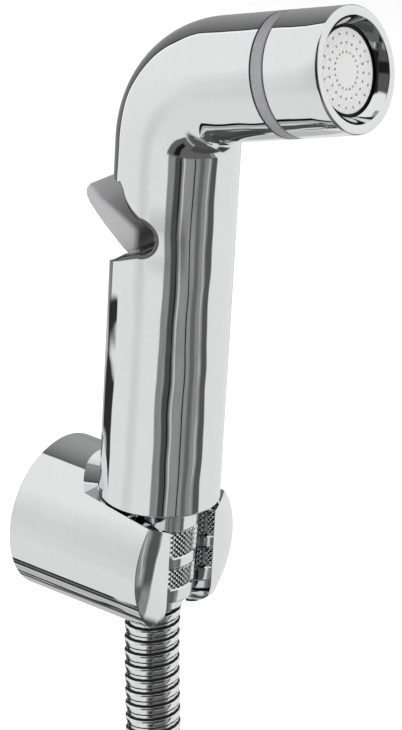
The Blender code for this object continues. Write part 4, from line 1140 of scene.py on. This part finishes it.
new_pieces = (
    (body, tube_chrome, "shower", "chrome", ("handset_body",)),
    (sleeve, head_chrome, "shower", "chrome", ("head_sleeve",)),
    (trim, trim_grey, "shower", "grey_plastic", ("trim_ring",)),
    (plate, plate_white, "shower", "white_plastic", ("spray_plate",)),
    (lever, satin_grey, "lever", "grey_plastic", ("trigger_lever",)),
    (nut, nut_chrome, "shower", "chrome", ("cone_nut",)),
    (knurl_bands[0], nut_chrome, "shower", "chrome", ()),
    (knurl_bands[1], nut_chrome, "shower", "chrome", ()),
    (upper_ferrule, nut_chrome, "shower", "chrome", ("upper_ferrule",)),
    (hose, hose_chrome, "shower", "hose", ("hose_run", "hose_coil", "hose_tail")),
    (tie, black_rubber, "shower", "rubber", ("coil_tie",)),
    (lower_ferrule, nut_chrome, "shower", "chrome", ("lower_ferrule",)),
    (hexagon, nut_chrome, "supply_nut", "chrome", ("hex_nut",)),
    (bracket, cast_chrome, "shower", "chrome", ("bracket_body",)),
)
replaced = set()
for piece, finish, rides_on, slot_name, nodes in new_pieces:
    paint(piece, finish)
    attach(piece, rides_on)
    if nodes:
        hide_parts(*nodes)
        replaced.update(nodes)
print("new pieces:", len(new_pieces))

# %% [markdown]
# ## Second finishes on single faces: painted shade
#
# Three pieces get painted shade on some of their faces: the hose's grooves are painted dark, the
# plate's outer edge is painted black as the shade of the gap it is set in, and the handset's rolled
# edge is painted dark as shade and reflection of its dark inside, which is painted nearly black as
# shade. Splitting the pieces would leave seams in the polish. So each piece gets a second material,
# and the faces that carry it are found by where they lie.

# %% The hose's grooves, painted dark as shade
hose.data.materials.append(painted_shade_black)
for i in painted_shade_groove_faces:
    hose.data.polygons[i].material_index = 1

# %% The gap round the jet plate, painted black as shade
plate.data.materials.append(black_rubber)
for face in plate.data.polygons:
    face.use_smooth = abs(face.normal.dot(arm_ahead)) < 0.99
    from_face = face.center - ELBOW
    if (from_face - arm_ahead * from_face.dot(arm_ahead)).length > PAINTED_SHADE_FROM:
        face.material_index = 1

# %% The handset's rolled edges and its inside, painted dark as shade
body.data.materials.append(painted_shade_edge_chrome)
body.data.materials.append(painted_shade_black)
rolled = []
inside = []
for face in body.data.polygons:
    places = [body.data.vertices[i].co for i in face.vertices]
    depths = [HANDLE_RADIUS - (place - tube_centre(place)).length for place in places]
    outward = (face.center - tube_centre(face.center)).normalized()
    by_the_opening = OPENING_LIP - 0.01 < face.center.z < OPENING_TOP + 0.003
    # Faces deep inside the handle get the nearly black finish: painted shade.
    if min(depths) > 0.0016 and face.normal.dot(outward) < 0.35 and face.normal.z < 0.6:
        face.material_index = 2
        inside.append(face.index)
    # Faces of the rolled edge get the dark chrome: painted shade and painted reflection.
    elif 0.00006 < max(depths) < 0.0026 and by_the_opening:
        face.material_index = 1
        rolled.append(max(depths))
print("faces of the rolled edge:", len(rolled), "down to mm:", round(1000 * max(rolled, default=0), 2))
print("faces inside:", len(inside))

# %% Finishes of the CAD nodes that stay
kept_finishes = {
    "wall_disc": cast_zinc, "clamp_screw": plain_steel, "lever_pin": plain_steel,
    "valve_seat": turned_brass, "valve_stem": painted_shade_black, "valve_cage": plate_white,
    "return_spring": plain_steel, "stem_gland": painted_shade_black, "inlet_spigot": turned_brass,
    "head_core": plate_white,
}
for name, cad_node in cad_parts.items():
    if name in replaced:
        continue
    paint(cad_node, kept_finishes.get(name, black_rubber))
    if name not in kept_finishes:
        print("rubber:", name)

# %% [markdown]
# ## Floor, light and room
#
# The floor and the backdrop are one pale sheet. Chrome needs a room to mirror, so the world is a soft
# studio drawn by direction: pale walls, a darker side behind the object, and a dark area round the
# photographer. Four soft lamps light what isn't metal.

# %% Floor
floor_shape = bmesh.new()
bmesh.ops.create_grid(floor_shape, x_segments=1, y_segments=1, size=6,
                      matrix=Matrix.Translation((0, 0, -0.30)))
floor = as_object("studio_floor", floor_shape, smooth=False)
floor_finish, _, floor_shader = new_material("studio_paper", 0.0, 0.9)
floor_shader.inputs["Base Color"].default_value = (0.95, 0.95, 0.95, 1)
paint(floor, floor_finish)
floor.visible_glossy = False
floor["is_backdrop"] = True

# %% World
world = bpy.data.worlds.new("studio_room")
bpy.context.scene.world = world
world.use_nodes = True
room = world.node_tree
background = room.nodes["Background"]
direction = room.nodes.new("ShaderNodeTexCoord")
axes = room.nodes.new("ShaderNodeSeparateXYZ")
room.links.new(direction.outputs["Generated"], axes.inputs["Vector"])


def turned_axis(angle):
    """How far a direction points to an azimuth, for the two level axes of a turned frame."""
    x_part = math_node(room, "MULTIPLY", axes.outputs["X"], math.cos(angle))
    y_part = math_node(room, "MULTIPLY", axes.outputs["Y"], math.sin(angle))
    return math_node(room, "ADD", x_part, y_part)


def ramp(value, low, high, at_low, at_high, kind="LINEAR"):
    """A value that runs from one level to another between two places."""
    step = room.nodes.new("ShaderNodeMapRange")
    step.interpolation_type = kind
    step.inputs["From Min"].default_value = low
    step.inputs["From Max"].default_value = high
    step.inputs["To Min"].default_value = at_low
    step.inputs["To Max"].default_value = at_high
    room.links.new(value, step.inputs["Value"])
    return step.outputs["Result"]


def soft_step(value, place, soft):
    """A soft step from 0 to 1 round a place."""
    return ramp(value, place - soft, place + soft, 0.0, 1.0, "SMOOTHSTEP")


def band(value, low, high, soft):
    """1 between two values and 0 outside them, with soft edges."""
    return math_node(room, "MULTIPLY", soft_step(value, low, soft),
                     math_node(room, "SUBTRACT", 1.0, soft_step(value, high, soft)))


def darken(light, mask, level):
    """Bring the light towards a level where the mask is 1."""
    lost = math_node(room, "MULTIPLY", mask, math_node(room, "SUBTRACT", light, level))
    return math_node(room, "SUBTRACT", light, lost)


def in_degrees(value):
    return math_node(room, "MULTIPLY", value, math.degrees(1))


toward_camera = math.atan2(-0.5885, -0.8085)
ahead = turned_axis(toward_camera)
rightward = turned_axis(toward_camera + math.pi / 2)
sweep = in_degrees(math_node(room, "ARCTAN2", rightward, ahead))
rise = in_degrees(math_node(room, "ARCSINE", axes.outputs["Z"]))
print("the room's directions: a sweep round the camera's line, and a rise")


# %% Wandering edges
wander = node(room, "ShaderNodeTexNoise", Scale=3.2, Detail=2.0, Roughness=0.5)
room.links.new(direction.outputs["Generated"], wander.inputs["Vector"])
wandering = math_node(room, "MULTIPLY", math_node(room, "SUBTRACT", wander.outputs["Fac"], 0.5), 7.0)
sweep = math_node(room, "ADD", sweep, wandering)
streaks = node(room, "ShaderNodeTexNoise", Scale=9.0, Detail=3.0, Roughness=0.6)
room.links.new(direction.outputs["Generated"], streaks.inputs["Vector"])
mottle = math_node(room, "MULTIPLY", math_node(room, "SUBTRACT", streaks.outputs["Fac"], 0.5), 0.22)


# %% [markdown]
# The pale room is then darkened patch by patch, in three parts: behind and beside the object, on the
# photographer's side, and underneath. Each row says how bright the patch is, between which sweeps it
# lies and how soft its sides are, and then the same for its rises. A sweep of 0 looks to the camera.
# Later patches lie over earlier ones. The narrow ones are the streaks that run along the tube.

# %% The room's patches
def patch(light, level, sweeps, soft, rises, rise_soft):
    """Bring the light to a level between two sweeps and two rises, in degrees."""
    mask = math_node(room, "MULTIPLY", band(sweep, *sweeps, soft), band(rise, *rises, rise_soft))
    return darken(light, mask, level)


behind_and_beside = (
    (0.70, (-72, -52), 9, (-30, 40), 12),
    (0.54, (-200, -158), 3, (-62, -26), 3),
    (ramp(sweep, -180, -139, 0.36, 0.12), (-200, -139.5), 0.9, (-24, 75), 3),
    (0.36, (168, 200), 2, (-24, 75), 3),
    (0.02, (-142, -139.5), 0.6, (-20, 45), 4),
    (1.15, (-137.8, -135.8), 0.6, (-20, 45), 4),
    (0.03, (-150, -114), 2, (-24.4, -22.7), 0.3),
    (0.02, (-152, -116), 3, (-48, -29), 2),
)
photographers_side = (
    (math_node(room, "ADD", mottle, 0.29), (-16, 79), 1.5, (-58, 26), 7),
    (0.075, (-3, 10), 2.0, (-58, 20), 6),
    (0.01, (6, 8), 0.7, (-30, 10), 4),
    (0.62, (12.5, 15), 0.9, (-40, 10), 6),
    (0.14, (42, 52), 3.0, (-58, 20), 8),
    (0.01, (31.5, 33.5), 0.7, (-36, 20), 4),
    (0.55, (59.5, 62), 0.9, (-26, 10), 3),
    (0.10, (66, 78), 2.0, (-30, 20), 4),
    (0.13, (-21, 67), 2.0, (-62, -29), 2),
    (0.07, (20, 105), 4.0, (-74, -48), 3),
    (0.09, (-48, 24), 3.0, (-17, 30), 4),
    (0.10, (-40, 60), 4.0, (24, 64), 4),
    (0.015, (4, 46), 3.0, (-13, 66), 3),
    (0.015, (-24, 4), 2.0, (6, 28), 3),
    (0.06, (105, 142), 4.0, (-62, -42), 3),
    (0.06, (155, 175), 3.0, (-8, 22), 4),
    (0.01, (-8, 3), 2, (-52, -31), 2),
)
underneath = (
    (0.01, (-109, -104.5), 0.8, (-60, -49), 2),
    (0.16, (-113, -109), 0.8, (-60, -49), 2),
    (0.01, (-119, -113), 0.8, (-60, -49), 2),
    (0.52, (-138, -120), 1.0, (-60, -49), 2),
    (0.01, (-146, -139), 1.0, (-60, -49), 2),
    (0.10, (-157, -147), 1.5, (-60, -49), 2),
    (0.005, (-106, -96), 1.0, (-90, -60), 2),
    (0.42, (-132, -106), 2.0, (-90, -61), 2),
    (0.08, (-162, -134), 3.0, (-90, -61), 2),
    (0.10, (-40, 100), 12, (-90, -64), 4),
)
light = ramp(rise, -40, 10, 0.80, 0.91)
for group in (behind_and_beside, photographers_side, underneath):
    for level, sweeps, soft, rises, rise_soft in group:
        light = patch(light, level, sweeps, soft, rises, rise_soft)
    print("patches in this part of the room:", len(group))
room.links.new(math_node(room, "MAXIMUM", light, 0.0), background.inputs["Color"])
background.inputs["Strength"].default_value = 1.0

# %% What the camera sees behind the object
path_kind = room.nodes.new("ShaderNodeLightPath")
seen = room.nodes.new("ShaderNodeBackground")
seen.inputs["Color"].default_value = (1, 1, 1, 1)
choice = room.nodes.new("ShaderNodeMixShader")
room.links.new(path_kind.outputs["Is Camera Ray"], choice.inputs["Fac"])
room.links.new(background.outputs["Background"], choice.inputs[1])
room.links.new(seen.outputs["Background"], choice.inputs[2])
room.links.new(choice.outputs["Shader"], room.nodes["World Output"].inputs["Surface"])


# %% Lamps
def lamp(name, place, target, size, power):
    data = bpy.data.lights.new(name, "AREA")
    data.shape = "SQUARE"
    data.size = size
    data.energy = power
    made = bpy.data.objects.new(name, data)
    made.location = place
    made.rotation_mode = "QUATERNION"
    made.rotation_quaternion = (Vector(place) - Vector(target)).to_track_quat("Z", "Y")
    made.visible_glossy = False
    bpy.context.scene.collection.objects.link(made)


LAMPS = {
    "key": ((-1.5, 0.1, 0.5), 27), "fill": ((-0.6, -1.4, 0.4), 14),
    "back": ((0.5, 1.2, 1.0), 8), "above": ((-0.5, -0.1, 1.6), 14),
}
for name, (place, power) in LAMPS.items():
    lamp(name, place, (0, -0.04, 0.03), 0.9, power)
print("lamps:", list(LAMPS))
bpy.context.scene.view_settings.view_transform = "Standard"

# %% The bounds of what is drawn
low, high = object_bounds()
